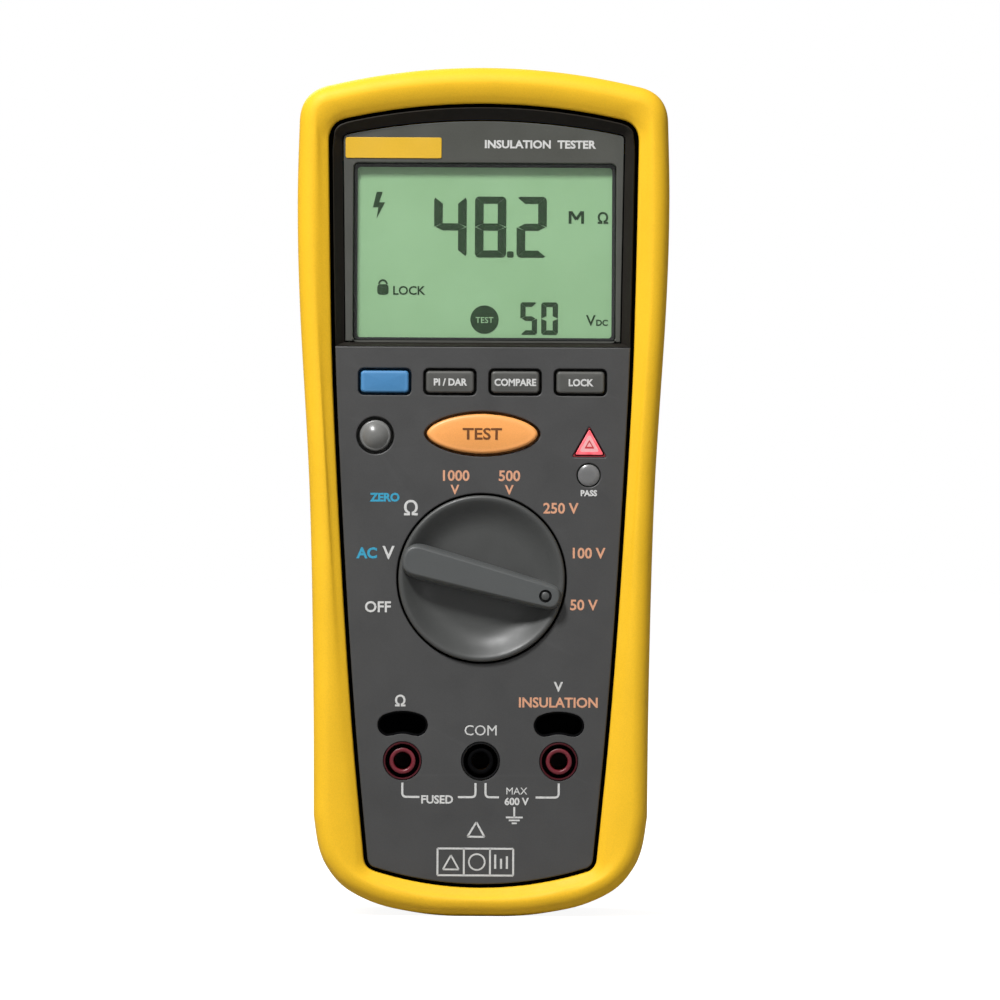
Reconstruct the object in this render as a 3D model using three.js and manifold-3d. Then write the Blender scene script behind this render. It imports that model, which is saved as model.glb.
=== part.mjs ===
// Handheld insulation resistance tester, standing upright on its lower end.
// Millimetres. +X is to the right of someone reading the display, +Y runs into the case, +Z is up.
// The origin is on the floor, under the middle of the case.
import * as THREE from 'three';
import { mergeVertices } from 'three/addons/utils/BufferGeometryUtils.js';
import Module from 'manifold-3d';

const wasm = await Module();
wasm.setup();

// ---------------------------------------------------------------- driving dimensions

const GAP = 0.3; // air left between neighbouring pieces
const DEG = Math.PI / 180;

// Case: overall size and the levels of its faces along Y, from the front to the back
const HEIGHT = 203;
const DEPTH = 50;
const FRONT = -DEPTH / 2;
const BACK = DEPTH / 2;
const RIM_FRONT = FRONT + 0.8;
const DECK_FRONT = FRONT + 3.2;
const DECK_STEP = DECK_FRONT + 2.8; // back of the plate that shows, front of the hidden flange
const DECK_BACK = DECK_STEP + 1.8;
const SEAM = -2; // middle of the joint between the front and the rear of the case
const SEAM_HALF = 0.9;
const RIM_WALL = 3;
const SHELL_WALL = 2.8;
const SHELL_FLOOR = BACK - 2.7;
const FRONT_ROUND = 4;
const BACK_ROUND = 6;

// Case seen from the front: half widths up one side, as [height, half width]
const CASE_SIDE = [[24, 39.9], [59, 40.2], [102, 41.3], [145, 43.8], [170, 44.5], [190, 44.1]];
const FOOT_HALF = 12; // flat land that the case stands on
const CROWN_RADIUS = 158;

// Opening in the yellow rim, in the same form
const OPENING_SIDE = [[14, 27.5], [44.7, 30.4], [80.5, 32.95], [123.5, 35.3], [150, 36.1], [185, 36.7]];
const OPENING_TOP = 194;
const OPENING_TOP_RADIUS = 150;
const OPENING_BOTTOM = 7.2;
const OPENING_BOTTOM_RADIUS = 84;

// Display
const DISPLAY_FLOOR = 136.2; // lower edge of the sunk display area
const DISPLAY_SLOPE = 2.2; // fall of the sloped frame round the display, and its width
const BEZEL_FRONT = DECK_FRONT + DISPLAY_SLOPE;
const BEZEL_HALF_TOP = 33.9;
const BEZEL_HALF_LOW = 33.2;
const BEZEL_LOW = 137.2;
const BEZEL_TOP = 190.6;
const BEZEL_TOP_RADIUS = 165;
const BEZEL_CORNER = 1.2;
const BEZEL_CLEAR = 0.25;
const WINDOW_WIDTH = 62.9;
const WINDOW_HEIGHT = 42.7;
const WINDOW_X = 0.3;
const WINDOW_Z = 158.9;
const BADGE = { x: -21.6, z: 183.8, width: 23, height: 5 };

// Keys: four in a row, a round one and the large oval one
const KEY_PITCH = 15.6;
const KEY_Z = 127.8;
const KEY_WIDTH = 11.5;
const KEY_HEIGHT = 5.2;
const ROUND_KEY = { x: -25.6, z: 114.9, radius: 3.75 };
const TEST_KEY = { x: 0, z: 115.4, half: 13.25, rise: 4.75, clear: 0.6 };
const KEY_CLEAR = 0.4;
const KEY_FLANGE = 1; // how far a key's hidden flange reaches past its face
const KEY_TRAVEL = 1;

// Lamps
const WARN_LAMP = { x: 25.6, z: 113.6, width: 6.9, height: 6.2 };
const PASS_LAMP = { x: 25.5, z: 105.6, radius: 2.6 };

// Dial
const KNOB_Z = 80.8;
const KNOB_RADIUS = 20.3;
const KNOB_CLEAR = 0.6;
const SHAFT_RADIUS = 3;
const KNOB_WELL = DECK_BACK - 1; // floor of the well that the knob turns in
const KNOB_ANGLE = -15; // where the pointer rests, counted up from +X
const INDEX_RADIUS = 1.45;
const INDEX_REACH = 15.8;

// Input sockets
const JACK_Z = 37.1;
const JACK_PITCH = 18.7;
const JACK = { outer: 5, well: 4.4, post: 3.4, mouth: 2.15, bore: 2.6, grip: 2.05 };
const JACK_BACK = SEAM - 0.6;
const SLOT = { reach: 9.2, half: 2.6, spread: 21, wall: 0.6, floor: DECK_FRONT + 8.5 };

// Boards
const KEY_BOARD = { front: -13.3, back: -11.7, low: 101.5, high: 183.5, half: 34 };
const MAIN_BOARD = { front: SEAM - 0.2, back: SEAM + 1.4, low: 24, high: 178, half: 33 };

// Back of the case: tilt stand, battery door and cells
const STAND = { half: 33.8, low: 25, hinge: 118, leg: 5.2, bar: 10.6, thick: 3.6, barrel: 1.8 };
const STAND_PIVOT_Y = BACK - 2.1;
const STAND_BACK = BACK - 0.3;
const DOOR = { half: 27, low: 37.2, high: 110.8, thick: 2.3 };
const LOCK_INSET = 3.1; // from the door's end to a lock's axis
const CELL_RADIUS = 7.2;
const CELL_PITCH = 15;
const CELL_Y = 14.9;
const TRAY = { half: 27, low: 42.3, high: 105.7, front: 6.2, wall: 0.6, end: 1.1 };
const POCKET_WALL = 2.4;

// Case screws, as [x, z] on the right-hand side
const SCREWS = [[27, 14], [34, 188.2]];
const SCREW_SHANK = 1.35;
const SCREW_PILLAR = 3.6;
const SCREW_WELL = { radius: 3, depth: 3.5 };

// ---------------------------------------------------------------- solids and booleans

// A closed three.js geometry as a manifold solid, turned the right way out.
function solid(geometry) {
  const bare = geometry.index ? geometry.toNonIndexed() : geometry.clone();
  for (const name of Object.keys(bare.attributes)) {
    if (name !== 'position') bare.deleteAttribute(name);
  }
  const merged = mergeVertices(bare, 1e-4);
  const corners = merged.attributes.position.array;
  const faces = [];
  const index = merged.index.array;
  let volume = 0;
  const a = new THREE.Vector3();
  const b = new THREE.Vector3();
  const c = new THREE.Vector3();
  for (let i = 0; i < index.length; i += 3) {
    const [p, q, r] = [index[i], index[i + 1], index[i + 2]];
    if (p === q || q === r || r === p) continue;
    faces.push(p, q, r);
    a.fromArray(corners, 3 * p);
    b.fromArray(corners, 3 * q);
    c.fromArray(corners, 3 * r);
    volume += a.dot(b.cross(c));
  }
  if (volume < 0) faces.reverse();
  const mesh = new wasm.Mesh({
    numProp: 3,
    vertProperties: new Float32Array(corners),
    triVerts: new Uint32Array(faces),
  });
  return new wasm.Manifold(mesh);
}

function join(first, ...others) {
  return others.reduce((sum, piece) => sum.add(piece), first);
}

function cut(first, ...others) {
  return others.reduce((rest, piece) => rest.subtract(piece), first);
}

// Plane curve from a list of [x, z] points, extruded from front to back along Y.
function slab(points, front, back) {
  const shape = new THREE.Shape(points.map(([x, z]) => new THREE.Vector2(x, z)));
  const geometry = new THREE.ExtrudeGeometry(shape, { depth: back - front, bevelEnabled: false });
  geometry.rotateX(Math.PI / 2);
  geometry.translate(0, back, 0);
  return solid(geometry);
}

// The same, with both ends rounded off by the given radius.
function softSlab(points, front, back, radius, steps) {
  const shape = new THREE.Shape(points.map(([x, z]) => new THREE.Vector2(x, z)));
  const geometry = new THREE.ExtrudeGeometry(shape, {
    depth: back - front - 2 * radius,
    bevelThickness: radius,
    bevelSize: radius,
    bevelOffset: -radius,
    bevelSegments: steps,
  });
  geometry.rotateX(Math.PI / 2);
  geometry.translate(0, back - radius, 0);
  return solid(geometry);
}

function box(x, y, z) {
  const geometry = new THREE.BoxGeometry(x[1] - x[0], y[1] - y[0], z[1] - z[0]);
  geometry.translate((x[0] + x[1]) / 2, (y[0] + y[1]) / 2, (z[0] + z[1]) / 2);
  return solid(geometry);
}

// Everything of a solid that lies between two levels of Y.
function keepBetween(piece, front, back) {
  return piece.intersect(box([-100, 100], [front, back], [-10, 250]));
}

// Turned about Y from a closed profile of [radius, y] points, then moved to x, z.
function turned(profile, x = 0, z = 0, sides = 24) {
  const points = profile.map(([r, y]) => new THREE.Vector2(r, y));
  points.push(points[0].clone());
  const geometry = new THREE.LatheGeometry(points, sides);
  geometry.translate(x, 0, z);
  return solid(geometry);
}

function rod(radius, front, back, x = 0, z = 0, sides = 20) {
  return turned([[0, front], [radius, front], [radius, back], [0, back]], x, z, sides);
}

// The same rod, lying along X.
function crossRod(radius, x, y, z, sides = 16) {
  const geometry = new THREE.CylinderGeometry(radius, radius, x[1] - x[0], sides);
  geometry.rotateZ(Math.PI / 2);
  geometry.translate((x[0] + x[1]) / 2, y, z);
  return solid(geometry);
}

// ---------------------------------------------------------------- outlines

// Points along a quadratic bend, without its first point.
function bend(from, corner, to, steps) {
  const curve = new THREE.QuadraticBezierCurve(
    new THREE.Vector2(...from),
    new THREE.Vector2(...corner),
    new THREE.Vector2(...to),
  );
  return curve.getPoints(steps).slice(1).map((p) => [p.x, p.y]);
}

// Smooth curve through [height, half width] stations, without its first point.
function sideCurve(stations, stepsEach) {
  const curve = new THREE.SplineCurve(stations.map(([z, x]) => new THREE.Vector2(x, z)));
  return curve.getPoints(stepsEach * (stations.length - 1)).slice(1).map((p) => [p.x, p.y]);
}

// Height of a circular crown of the given radius, at distance x from its top.
function crown(top, radius, x) {
  return top - radius + Math.sqrt(radius * radius - x * x);
}

// Both halves of a left-right symmetric outline, from the points of its right half.
function mirrored(half) {
  const left = half.filter(([x]) => x > 0).map(([x, z]) => [-x, z]).reverse();
  return half.concat(left);
}

function caseOutline() {
  const [lowZ, lowX] = CASE_SIDE[0];
  const [highZ, highX] = CASE_SIDE[CASE_SIDE.length - 1];
  const shoulder = [36.5, crown(HEIGHT, CROWN_RADIUS, 36.5)];
  const heel = [24, 2.7];
  const half = [[FOOT_HALF, 0]];
  half.push(...bend(half[0], [17.3, 0.7], heel, 3));
  half.push(...bend(heel, [39.3, 5.8], [lowX, lowZ], 8));
  half.push(...sideCurve(CASE_SIDE, 2));
  half.push(...bend([highX, highZ], [43.9, 197.4], shoulder, 6));
  for (const x of [24, 12, 0]) half.push([x, crown(HEIGHT, CROWN_RADIUS, x)]);
  return mirrored(half);
}

function openingOutline() {
  const [lowZ, lowX] = OPENING_SIDE[0];
  const [highZ, highX] = OPENING_SIDE[OPENING_SIDE.length - 1];
  const rise = (x) => {
    const sag = OPENING_BOTTOM_RADIUS - Math.sqrt(OPENING_BOTTOM_RADIUS ** 2 - x * x);
    return OPENING_BOTTOM + sag;
  };
  const half = [[0, OPENING_BOTTOM], [9, rise(9)], [18, rise(18)], [25.5, rise(25.5)]];
  half.push(...bend(half[3], [27.3, rise(27.3)], [lowX, lowZ], 3));
  half.push(...sideCurve(OPENING_SIDE, 2));
  const shoulder = [33, crown(OPENING_TOP, OPENING_TOP_RADIUS, 33)];
  half.push(...bend([highX, highZ], [36.8, crown(OPENING_TOP, OPENING_TOP_RADIUS, 36.8)], shoulder, 4));
  for (const x of [22, 11, 0]) half.push([x, crown(OPENING_TOP, OPENING_TOP_RADIUS, x)]);
  return mirrored(half);
}

function bezelOutline() {
  const edge = BEZEL_HALF_TOP - BEZEL_CORNER;
  const sideTop = crown(BEZEL_TOP, BEZEL_TOP_RADIUS, BEZEL_HALF_TOP);
  const start = [BEZEL_HALF_TOP, sideTop - BEZEL_CORNER];
  const half = [[0, BEZEL_LOW], [BEZEL_HALF_LOW, BEZEL_LOW], start];
  half.push(...bend(start, [BEZEL_HALF_TOP, sideTop], [edge, crown(BEZEL_TOP, BEZEL_TOP_RADIUS, edge)], 2));
  for (const x of [20, 10, 0]) half.push([x, crown(BEZEL_TOP, BEZEL_TOP_RADIUS, x)]);
  return mirrored(half);
}

// A closed outline moved inwards by a distance (outwards when it is negative).
function inset(points, distance) {
  const count = points.length;
  return points.map(([x, z], i) => {
    const before = points[(i + count - 1) % count];
    const after = points[(i + 1) % count];
    const first = new THREE.Vector2(x - before[0], z - before[1]).normalize();
    const second = new THREE.Vector2(after[0] - x, after[1] - z).normalize();
    const normal = new THREE.Vector2(-(first.y + second.y), first.x + second.x).normalize();
    const stretch = distance / (normal.x * -second.y + normal.y * second.x);
    return [x + normal.x * stretch, z + normal.y * stretch];
  });
}

// Rectangle with rounded corners, given by its centre.
function rectangle(x, z, width, height, radius, steps = 3) {
  const points = [];
  const corners = [[1, -1], [1, 1], [-1, 1], [-1, -1]];
  corners.forEach(([right, up], i) => {
    const cx = x + right * (width / 2 - radius);
    const cz = z + up * (height / 2 - radius);
    for (let k = 0; k <= steps; k += 1) {
      const angle = (i - 1 + k / steps) * 90 * DEG;
      points.push([cx + radius * Math.cos(angle), cz + radius * Math.sin(angle)]);
    }
  });
  return points;
}

// The TEST key's shape: an oval drawn in towards its two ends.
function oval(half, rise, count = 32) {
  const power = 2 / 1.85;
  return Array.from({ length: count }, (_, i) => {
    const angle = (2 * Math.PI * i) / count;
    const c = Math.cos(angle);
    const s = Math.sin(angle);
    return [
      TEST_KEY.x + half * Math.sign(c) * Math.abs(c) ** power,
      TEST_KEY.z + rise * Math.sign(s) * Math.abs(s) ** power,
    ];
  });
}

// Triangle of the warning lamp, apex up, grown by a margin.
function triangle(margin) {
  const { x, z, width, height } = WARN_LAMP;
  const corners = [[x - width / 2, z - height / 2], [x + width / 2, z - height / 2], [x, z + height / 2]];
  return inset(corners, -margin);
}

// Kidney-shaped outline bent round a socket, of the given half width.
function kidney(x, half) {
  const points = [];
  const arc = (radius, cx, cz, from, to, steps) => {
    for (let k = 0; k <= steps; k += 1) {
      const angle = (from + ((to - from) * k) / steps) * DEG;
      points.push([cx + radius * Math.cos(angle), cz + radius * Math.sin(angle)]);
    }
  };
  const right = 90 - SLOT.spread;
  const left = 90 + SLOT.spread;
  const end = (angle) => [
    x + SLOT.reach * Math.cos(angle * DEG),
    JACK_Z + SLOT.reach * Math.sin(angle * DEG),
  ];
  arc(half, ...end(right), right - 150, right - 20, 4);
  arc(SLOT.reach + half, x, JACK_Z, right, left, 4);
  arc(half, ...end(left), left + 20, left + 150, 4);
  arc(SLOT.reach - half, x, JACK_Z, left, right, 3);
  return points;
}

const CASE = caseOutline();
const OPENING = openingOutline();
const BEZEL = bezelOutline();
const CAVITY = inset(CASE, SHELL_WALL);
const keyPlaces = [-1.5, -0.5, 0.5, 1.5].map((n) => n * KEY_PITCH);
const screwPlaces = SCREWS.flatMap(([x, z]) => [[-x, z], [x, z]]);
const doorMiddle = (DOOR.low + DOOR.high) / 2;
const lockPlaces = [DOOR.low + LOCK_INSET, DOOR.high - LOCK_INSET];

// ---------------------------------------------------------------- front of the case

// Soft yellow ring that wraps the front: a broad rounded face and a skirt back to the seam.
function frontRim() {
  const back = SEAM - SEAM_HALF;
  const blank = keepBetween(softSlab(CASE, RIM_FRONT, SEAM + 20, FRONT_ROUND, 4), RIM_FRONT, back);
  const hollow = slab(inset(CASE, RIM_WALL), DECK_STEP - GAP, back + 1);
  return cut(blank, slab(OPENING, RIM_FRONT - 1, back + 1), hollow);
}

// Grey moulding inside the rim. It carries the keys, lamps, dial and sockets.
function frontDeck() {
  let deck = slab(inset(OPENING, GAP), DECK_FRONT, DECK_BACK);
  deck = join(deck, slab(inset(CASE, RIM_WALL + GAP), DECK_STEP, DECK_BACK));
  for (const [x, z] of screwPlaces) {
    deck = join(deck, rod(3.4, DECK_BACK - 0.5, SEAM - 0.4, x, z));
    deck = cut(deck, rod(SCREW_SHANK + 0.2, SEAM - 12, SEAM, x, z, 12));
  }
  const wide = inset(BEZEL, -DISPLAY_SLOPE);
  const slope = softSlab(wide, DECK_FRONT - DISPLAY_SLOPE, BEZEL_FRONT, DISPLAY_SLOPE, 1);
  const above = box([-60, 60], [DECK_FRONT - 1, BEZEL_FRONT], [DISPLAY_FLOOR, HEIGHT]);
  const widened = slab(wide, DECK_FRONT - 3, DECK_FRONT);
  deck = cut(deck, keepBetween(join(slope, widened), DECK_FRONT - 0.01, BEZEL_FRONT).intersect(above));
  deck = cut(deck, slab(BEZEL, DECK_FRONT - 1, DECK_BACK + 1));
  for (const x of keyPlaces) {
    const hole = rectangle(x, KEY_Z, KEY_WIDTH + 2 * KEY_CLEAR, KEY_HEIGHT + 2 * KEY_CLEAR, 1.1);
    deck = cut(deck, slab(hole, DECK_FRONT - 1, DECK_BACK + 1));
  }
  const through = [DECK_FRONT - 1, DECK_BACK + 1];
  const testHole = oval(TEST_KEY.half + TEST_KEY.clear, TEST_KEY.rise + TEST_KEY.clear);
  deck = cut(deck, rod(ROUND_KEY.radius + KEY_CLEAR, ...through, ROUND_KEY.x, ROUND_KEY.z));
  deck = cut(deck, slab(testHole, ...through));
  deck = cut(deck, slab(triangle(GAP), ...through));
  deck = cut(deck, rod(PASS_LAMP.radius + GAP, ...through, PASS_LAMP.x, PASS_LAMP.z, 16));
  deck = cut(deck, rod(KNOB_RADIUS + KNOB_CLEAR, DECK_FRONT - 1, KNOB_WELL, 0, KNOB_Z, 48));
  deck = cut(deck, rod(SHAFT_RADIUS + KNOB_CLEAR, ...through, 0, KNOB_Z, 16));
  for (const x of [-JACK_PITCH, 0, JACK_PITCH]) {
    deck = cut(deck, rod(JACK.outer + GAP, ...through, x, JACK_Z));
  }
  for (const x of [-JACK_PITCH, JACK_PITCH]) {
    deck = cut(deck, slab(kidney(x, SLOT.half + SLOT.wall + 0.2), ...through));
  }
  return deck;
}

function seamGasket() {
  const half = SEAM_HALF - GAP;
  const ring = slab(inset(CASE, 0.7), SEAM - half, SEAM + half);
  return cut(ring, slab(inset(CASE, 2.6), SEAM - 2, SEAM + 2));
}

// ---------------------------------------------------------------- display

function displayBezel() {
  const plate = slab(inset(BEZEL, BEZEL_CLEAR), BEZEL_FRONT, DECK_BACK);
  const hole = rectangle(WINDOW_X, WINDOW_Z, WINDOW_WIDTH, WINDOW_HEIGHT, 1.2);
  const recess = rectangle(BADGE.x, BADGE.z, BADGE.width + 0.6, BADGE.height + 0.6, 0.6);
  const opened = cut(plate, slab(hole, BEZEL_FRONT - 1, DECK_BACK + 1));
  return cut(opened, slab(recess, BEZEL_FRONT - 1, BEZEL_FRONT + 0.7));
}

function displayBadge() {
  const tab = rectangle(BADGE.x, BADGE.z, BADGE.width, BADGE.height, 0.5);
  return slab(tab, BEZEL_FRONT - 0.1, BEZEL_FRONT + 0.4);
}

function displayWindow() {
  const pane = rectangle(WINDOW_X, WINDOW_Z, WINDOW_WIDTH - 0.5, WINDOW_HEIGHT - 0.5, 1);
  return slab(pane, BEZEL_FRONT + 0.3, BEZEL_FRONT + 1.5);
}

const GLASS = { width: 65, height: 45, front: DECK_BACK + 0.2, back: DECK_BACK + 2 };

function displayGlass() {
  return slab(rectangle(WINDOW_X, WINDOW_Z, GLASS.width, GLASS.height, 0.3, 1), GLASS.front, GLASS.back);
}

function displayBacklight() {
  const panel = rectangle(WINDOW_X, WINDOW_Z + 1.5, 62, 41, 0.5, 1);
  return slab(panel, GLASS.back + GAP, GLASS.back + 1.5);
}

function displayFrame() {
  const outer = rectangle(WINDOW_X, WINDOW_Z, GLASS.width + 3, GLASS.height + 3, 1);
  const inner = rectangle(WINDOW_X, WINDOW_Z, GLASS.width + 0.6, GLASS.height + 0.6, 0.3, 1);
  const ring = slab(outer, GLASS.front, KEY_BOARD.front - 0.2);
  return cut(ring, slab(inner, GLASS.front - 1, KEY_BOARD.front + 1));
}

// ---------------------------------------------------------------- keys and lamps

const KEY_FRONT = DECK_FRONT - 0.8;
const FLANGE_FRONT = DECK_BACK + 0.3;
const FLANGE_BACK = FLANGE_FRONT + 0.7;

// Function key centred on x = 0, z = 0: a soft-edged cap on a wider hidden flange.
function functionKey() {
  const cap = softSlab(rectangle(0, 0, KEY_WIDTH, KEY_HEIGHT, 0.9), KEY_FRONT, FLANGE_BACK, 0.4, 1);
  const flange = rectangle(0, 0, KEY_WIDTH + 2 * KEY_FLANGE, KEY_HEIGHT + 2 * KEY_FLANGE, 0.8, 1);
  return join(cap, slab(flange, FLANGE_FRONT, FLANGE_BACK));
}

function roundKey() {
  const r = ROUND_KEY.radius;
  const flange = r + KEY_FLANGE;
  return turned([
    [0, KEY_FRONT - 0.3], [r * 0.5, KEY_FRONT - 0.1], [r * 0.85, KEY_FRONT + 0.4], [r, KEY_FRONT + 1.1],
    [r, FLANGE_FRONT], [flange, FLANGE_FRONT], [flange, FLANGE_BACK], [0, FLANGE_BACK],
  ], ROUND_KEY.x, ROUND_KEY.z);
}

function testKey() {
  const cap = softSlab(oval(TEST_KEY.half, TEST_KEY.rise), KEY_FRONT - 0.5, FLANGE_BACK, 0.7, 2);
  const flange = oval(TEST_KEY.half + 1.6, TEST_KEY.rise + 1.4);
  return join(cap, slab(flange, FLANGE_FRONT, FLANGE_BACK));
}

// Rubber sheet behind the keys, with a low dome under each one and a hole for the lamp.
function keypadSheet() {
  const front = FLANGE_BACK + KEY_TRAVEL + 0.6;
  let sheet = slab(rectangle(-1, 121.2, 62, 24, 2), front, KEY_BOARD.front - 0.2);
  const dome = (x, z, r) => rod(r, front - 0.3, front + 0.2, x, z, 12);
  for (const x of keyPlaces) sheet = join(sheet, dome(x, KEY_Z, 2.2));
  sheet = join(sheet, dome(ROUND_KEY.x, ROUND_KEY.z, 2.2), dome(TEST_KEY.x, TEST_KEY.z, 3.4));
  return cut(sheet, rod(2.6, front - 1, KEY_BOARD.front + 1, WARN_LAMP.x, WARN_LAMP.z, 12));
}

function warningLamp() {
  return slab(triangle(0), DECK_FRONT - 0.2, DECK_BACK - 0.6);
}

function passLamp() {
  return rod(PASS_LAMP.radius, DECK_FRONT - 0.2, DECK_BACK - 0.6, PASS_LAMP.x, PASS_LAMP.z, 16);
}

// Light-emitting diode on the key board, behind a lens at x, z.
function diode(x, z) {
  const front = DECK_BACK + 0.2;
  const back = KEY_BOARD.front - 0.2;
  return turned([[0, front], [0.9, front + 0.3], [1.5, front + 1.2], [1.5, back - 0.8], [1.9, back - 0.8],
    [1.9, back], [0, back]], x, z, 12);
}

// ---------------------------------------------------------------- dial

const KNOB_BACK = KNOB_WELL - 0.3;
const KNOB_RIM_FRONT = DECK_FRONT - 1.2;

// Dished disc crossed by a tapered grip bar. Drawn with the pointer along +X, then turned to rest.
function knobBody() {
  const disc = turned([
    [0, KNOB_BACK], [KNOB_RADIUS, KNOB_BACK], [KNOB_RADIUS, KNOB_RIM_FRONT + 0.6],
    [KNOB_RADIUS - 0.6, KNOB_RIM_FRONT], [KNOB_RADIUS - 2, KNOB_RIM_FRONT],
    [KNOB_RADIUS - 3.8, KNOB_BACK - 2], [KNOB_RADIUS - 10, KNOB_BACK - 1.3], [0, KNOB_BACK - 1],
  ], 0, 0, 48);
  const tail = 3.5;
  const tip = 2.5;
  const reach = KNOB_RADIUS - 0.3;
  const plan = [[reach - tip, -tip], ...bend([reach - tip, -tip], [reach, -tip], [reach, 0], 3),
    ...bend([reach, 0], [reach, tip], [reach - tip, tip], 3), [0, 0.9 * tail],
    [-reach + tail, tail], ...bend([-reach + tail, tail], [-reach, tail], [-reach, 0], 3),
    ...bend([-reach, 0], [-reach, -tail], [-reach + tail, -tail], 3), [0, -0.9 * tail]];
  const bar = keepBetween(softSlab(plan, FRONT, KNOB_BACK + 2, 0.9, 2), FRONT, KNOB_BACK - 0.5);
  const mark = rod(INDEX_RADIUS + 0.15, FRONT - 1, FRONT + 0.9, INDEX_REACH, 0, 16);
  return cut(join(disc, bar), mark);
}

function knobIndex() {
  return rod(INDEX_RADIUS, FRONT + 0.15, FRONT + 0.8, INDEX_REACH, 0, 16);
}

const ROTOR = { front: -6, back: -4.4, radius: 12.4 };

// Shaft with one flat, from the knob's back to the rotor.
function knobShaft() {
  const shaft = rod(SHAFT_RADIUS, KNOB_BACK + 0.2, ROTOR.front - 0.2, 0, 0, 16);
  return cut(shaft, box([2.2, 4], [-10, 0], [-4, 4]));
}

function switchRotor() {
  const disc = rod(ROTOR.radius, ROTOR.front, ROTOR.back, 0, 0, 32);
  return cut(disc, rod(1.6, ROTOR.front - 1, ROTOR.back + 1, 8, 0, 8));
}

// Three-armed contact spring on the rotor's back.
function rotorWiper() {
  const arms = [0, 120, 240].map((turn) => {
    const geometry = new THREE.BoxGeometry(10.5, 0.6, 2.4);
    geometry.translate(5.25, ROTOR.back + 0.6, 0);
    geometry.rotateY(turn * DEG);
    return solid(geometry);
  });
  return join(rod(3.2, ROTOR.back + GAP, ROTOR.back + 0.9, 0, 0, 16), ...arms);
}

// Fixed ring with a notch for each switch position.
function detentRing() {
  const ring = rod(16.4, DECK_BACK + 0.2, -8, 0, KNOB_Z, 32);
  const notches = Array.from({ length: 12 }, (_, i) => {
    const angle = (30 * i + 15) * DEG;
    return rod(1.2, DECK_BACK - 1, -6, 13 * Math.cos(angle), KNOB_Z + 13 * Math.sin(angle), 8);
  });
  return cut(ring, rod(13, DECK_BACK - 1, -6, 0, KNOB_Z, 32), ...notches);
}

// ---------------------------------------------------------------- input sockets

// Insulator centred on x = 0, z = 0: a tube with a hollow post standing in its middle.
function jackInsulator() {
  const front = DECK_FRONT - 0.1;
  const postFront = DECK_FRONT + 0.5;
  return turned([
    [JACK.mouth, postFront], [JACK.post, postFront], [JACK.post, JACK_BACK - 2.6],
    [JACK.well, JACK_BACK - 2.6], [JACK.well, front], [JACK.outer, front], [JACK.outer, JACK_BACK],
    [0, JACK_BACK], [0, JACK_BACK - 2], [JACK.bore, JACK_BACK - 2], [JACK.bore, postFront + 2],
    [JACK.mouth, postFront + 2],
  ]);
}

function jackContact() {
  const front = DECK_FRONT + 2.7;
  const back = JACK_BACK - 2.2;
  const outer = JACK.bore - 0.1;
  return turned([[JACK.grip, front], [outer, front], [outer, back], [JACK.grip, back]], 0, 0, 36);
}

// Closed-bottomed cup behind a kidney-shaped slot in the deck.
function probeSlot(x) {
  const cup = slab(kidney(x, SLOT.half + SLOT.wall), DECK_FRONT + 0.1, SLOT.floor + 0.8);
  return cut(cup, slab(kidney(x, SLOT.half), DECK_FRONT - 1, SLOT.floor));
}

// ---------------------------------------------------------------- boards and what they carry

function keyBoard() {
  const { half, low, high, front, back } = KEY_BOARD;
  const plate = slab(rectangle(0, (low + high) / 2, 2 * half, high - low, 3), front, back);
  const screwHoles = [4 - half, half - 4].map((x) => rod(1.4, front - 1, back + 1, x, low + 4, 8));
  return cut(plate, ...screwHoles);
}

function mainBoard() {
  const { half, low, high, front, back } = MAIN_BOARD;
  return slab(rectangle(0, (low + high) / 2, 2 * half, high - low, 3), front, back);
}

const COMPONENT_FRONT = MAIN_BOARD.back + 0.2;

// Laminated core with its two windings' bobbin round the middle leg.
function transformer() {
  const core = box([-28, -4], [COMPONENT_FRONT, 14], [128, 150]);
  const windows = box([-29, -3], [COMPONENT_FRONT + 3, 11], [132.5, 145.5]);
  const bobbin = softSlab(rectangle(-16, 139, 20, 13.6, 2), COMPONENT_FRONT + 2.6, 11.4, 0.8, 1);
  return join(cut(core, windows), bobbin);
}

function reservoirCapacitor() {
  return crossRod(6, [2, 26], COMPONENT_FRONT + 6.2, 158, 20);
}

const FUSE = { z: 31.5, y: 5.2, radius: 3.1, half: 16 };

function fuse() {
  return crossRod(FUSE.radius, [-FUSE.half, FUSE.half], FUSE.y, FUSE.z, 16);
}

// Base on the main board with a pair of jaws near each end of the fuse.
function fuseHolder() {
  const ends = [-FUSE.half - 1, FUSE.half + 1];
  const base = box(ends, [COMPONENT_FRONT, COMPONENT_FRONT + 1.2], [FUSE.z - 4.2, FUSE.z + 4.2]);
  const jaws = [-1, 1].map((side) => {
    const x = side * (FUSE.half - 3);
    return box([x - 2, x + 2], [COMPONENT_FRONT, FUSE.y + 3], [FUSE.z - 4.2, FUSE.z + 4.2]);
  });
  const throat = box([-20, 20], [FUSE.y, FUSE.y + 4], [FUSE.z - FUSE.radius, FUSE.z + FUSE.radius]);
  return cut(join(base, ...jaws), crossRod(FUSE.radius + 0.15, [-20, 20], FUSE.y, FUSE.z, 16), throat);
}

// ---------------------------------------------------------------- back of the case

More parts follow.
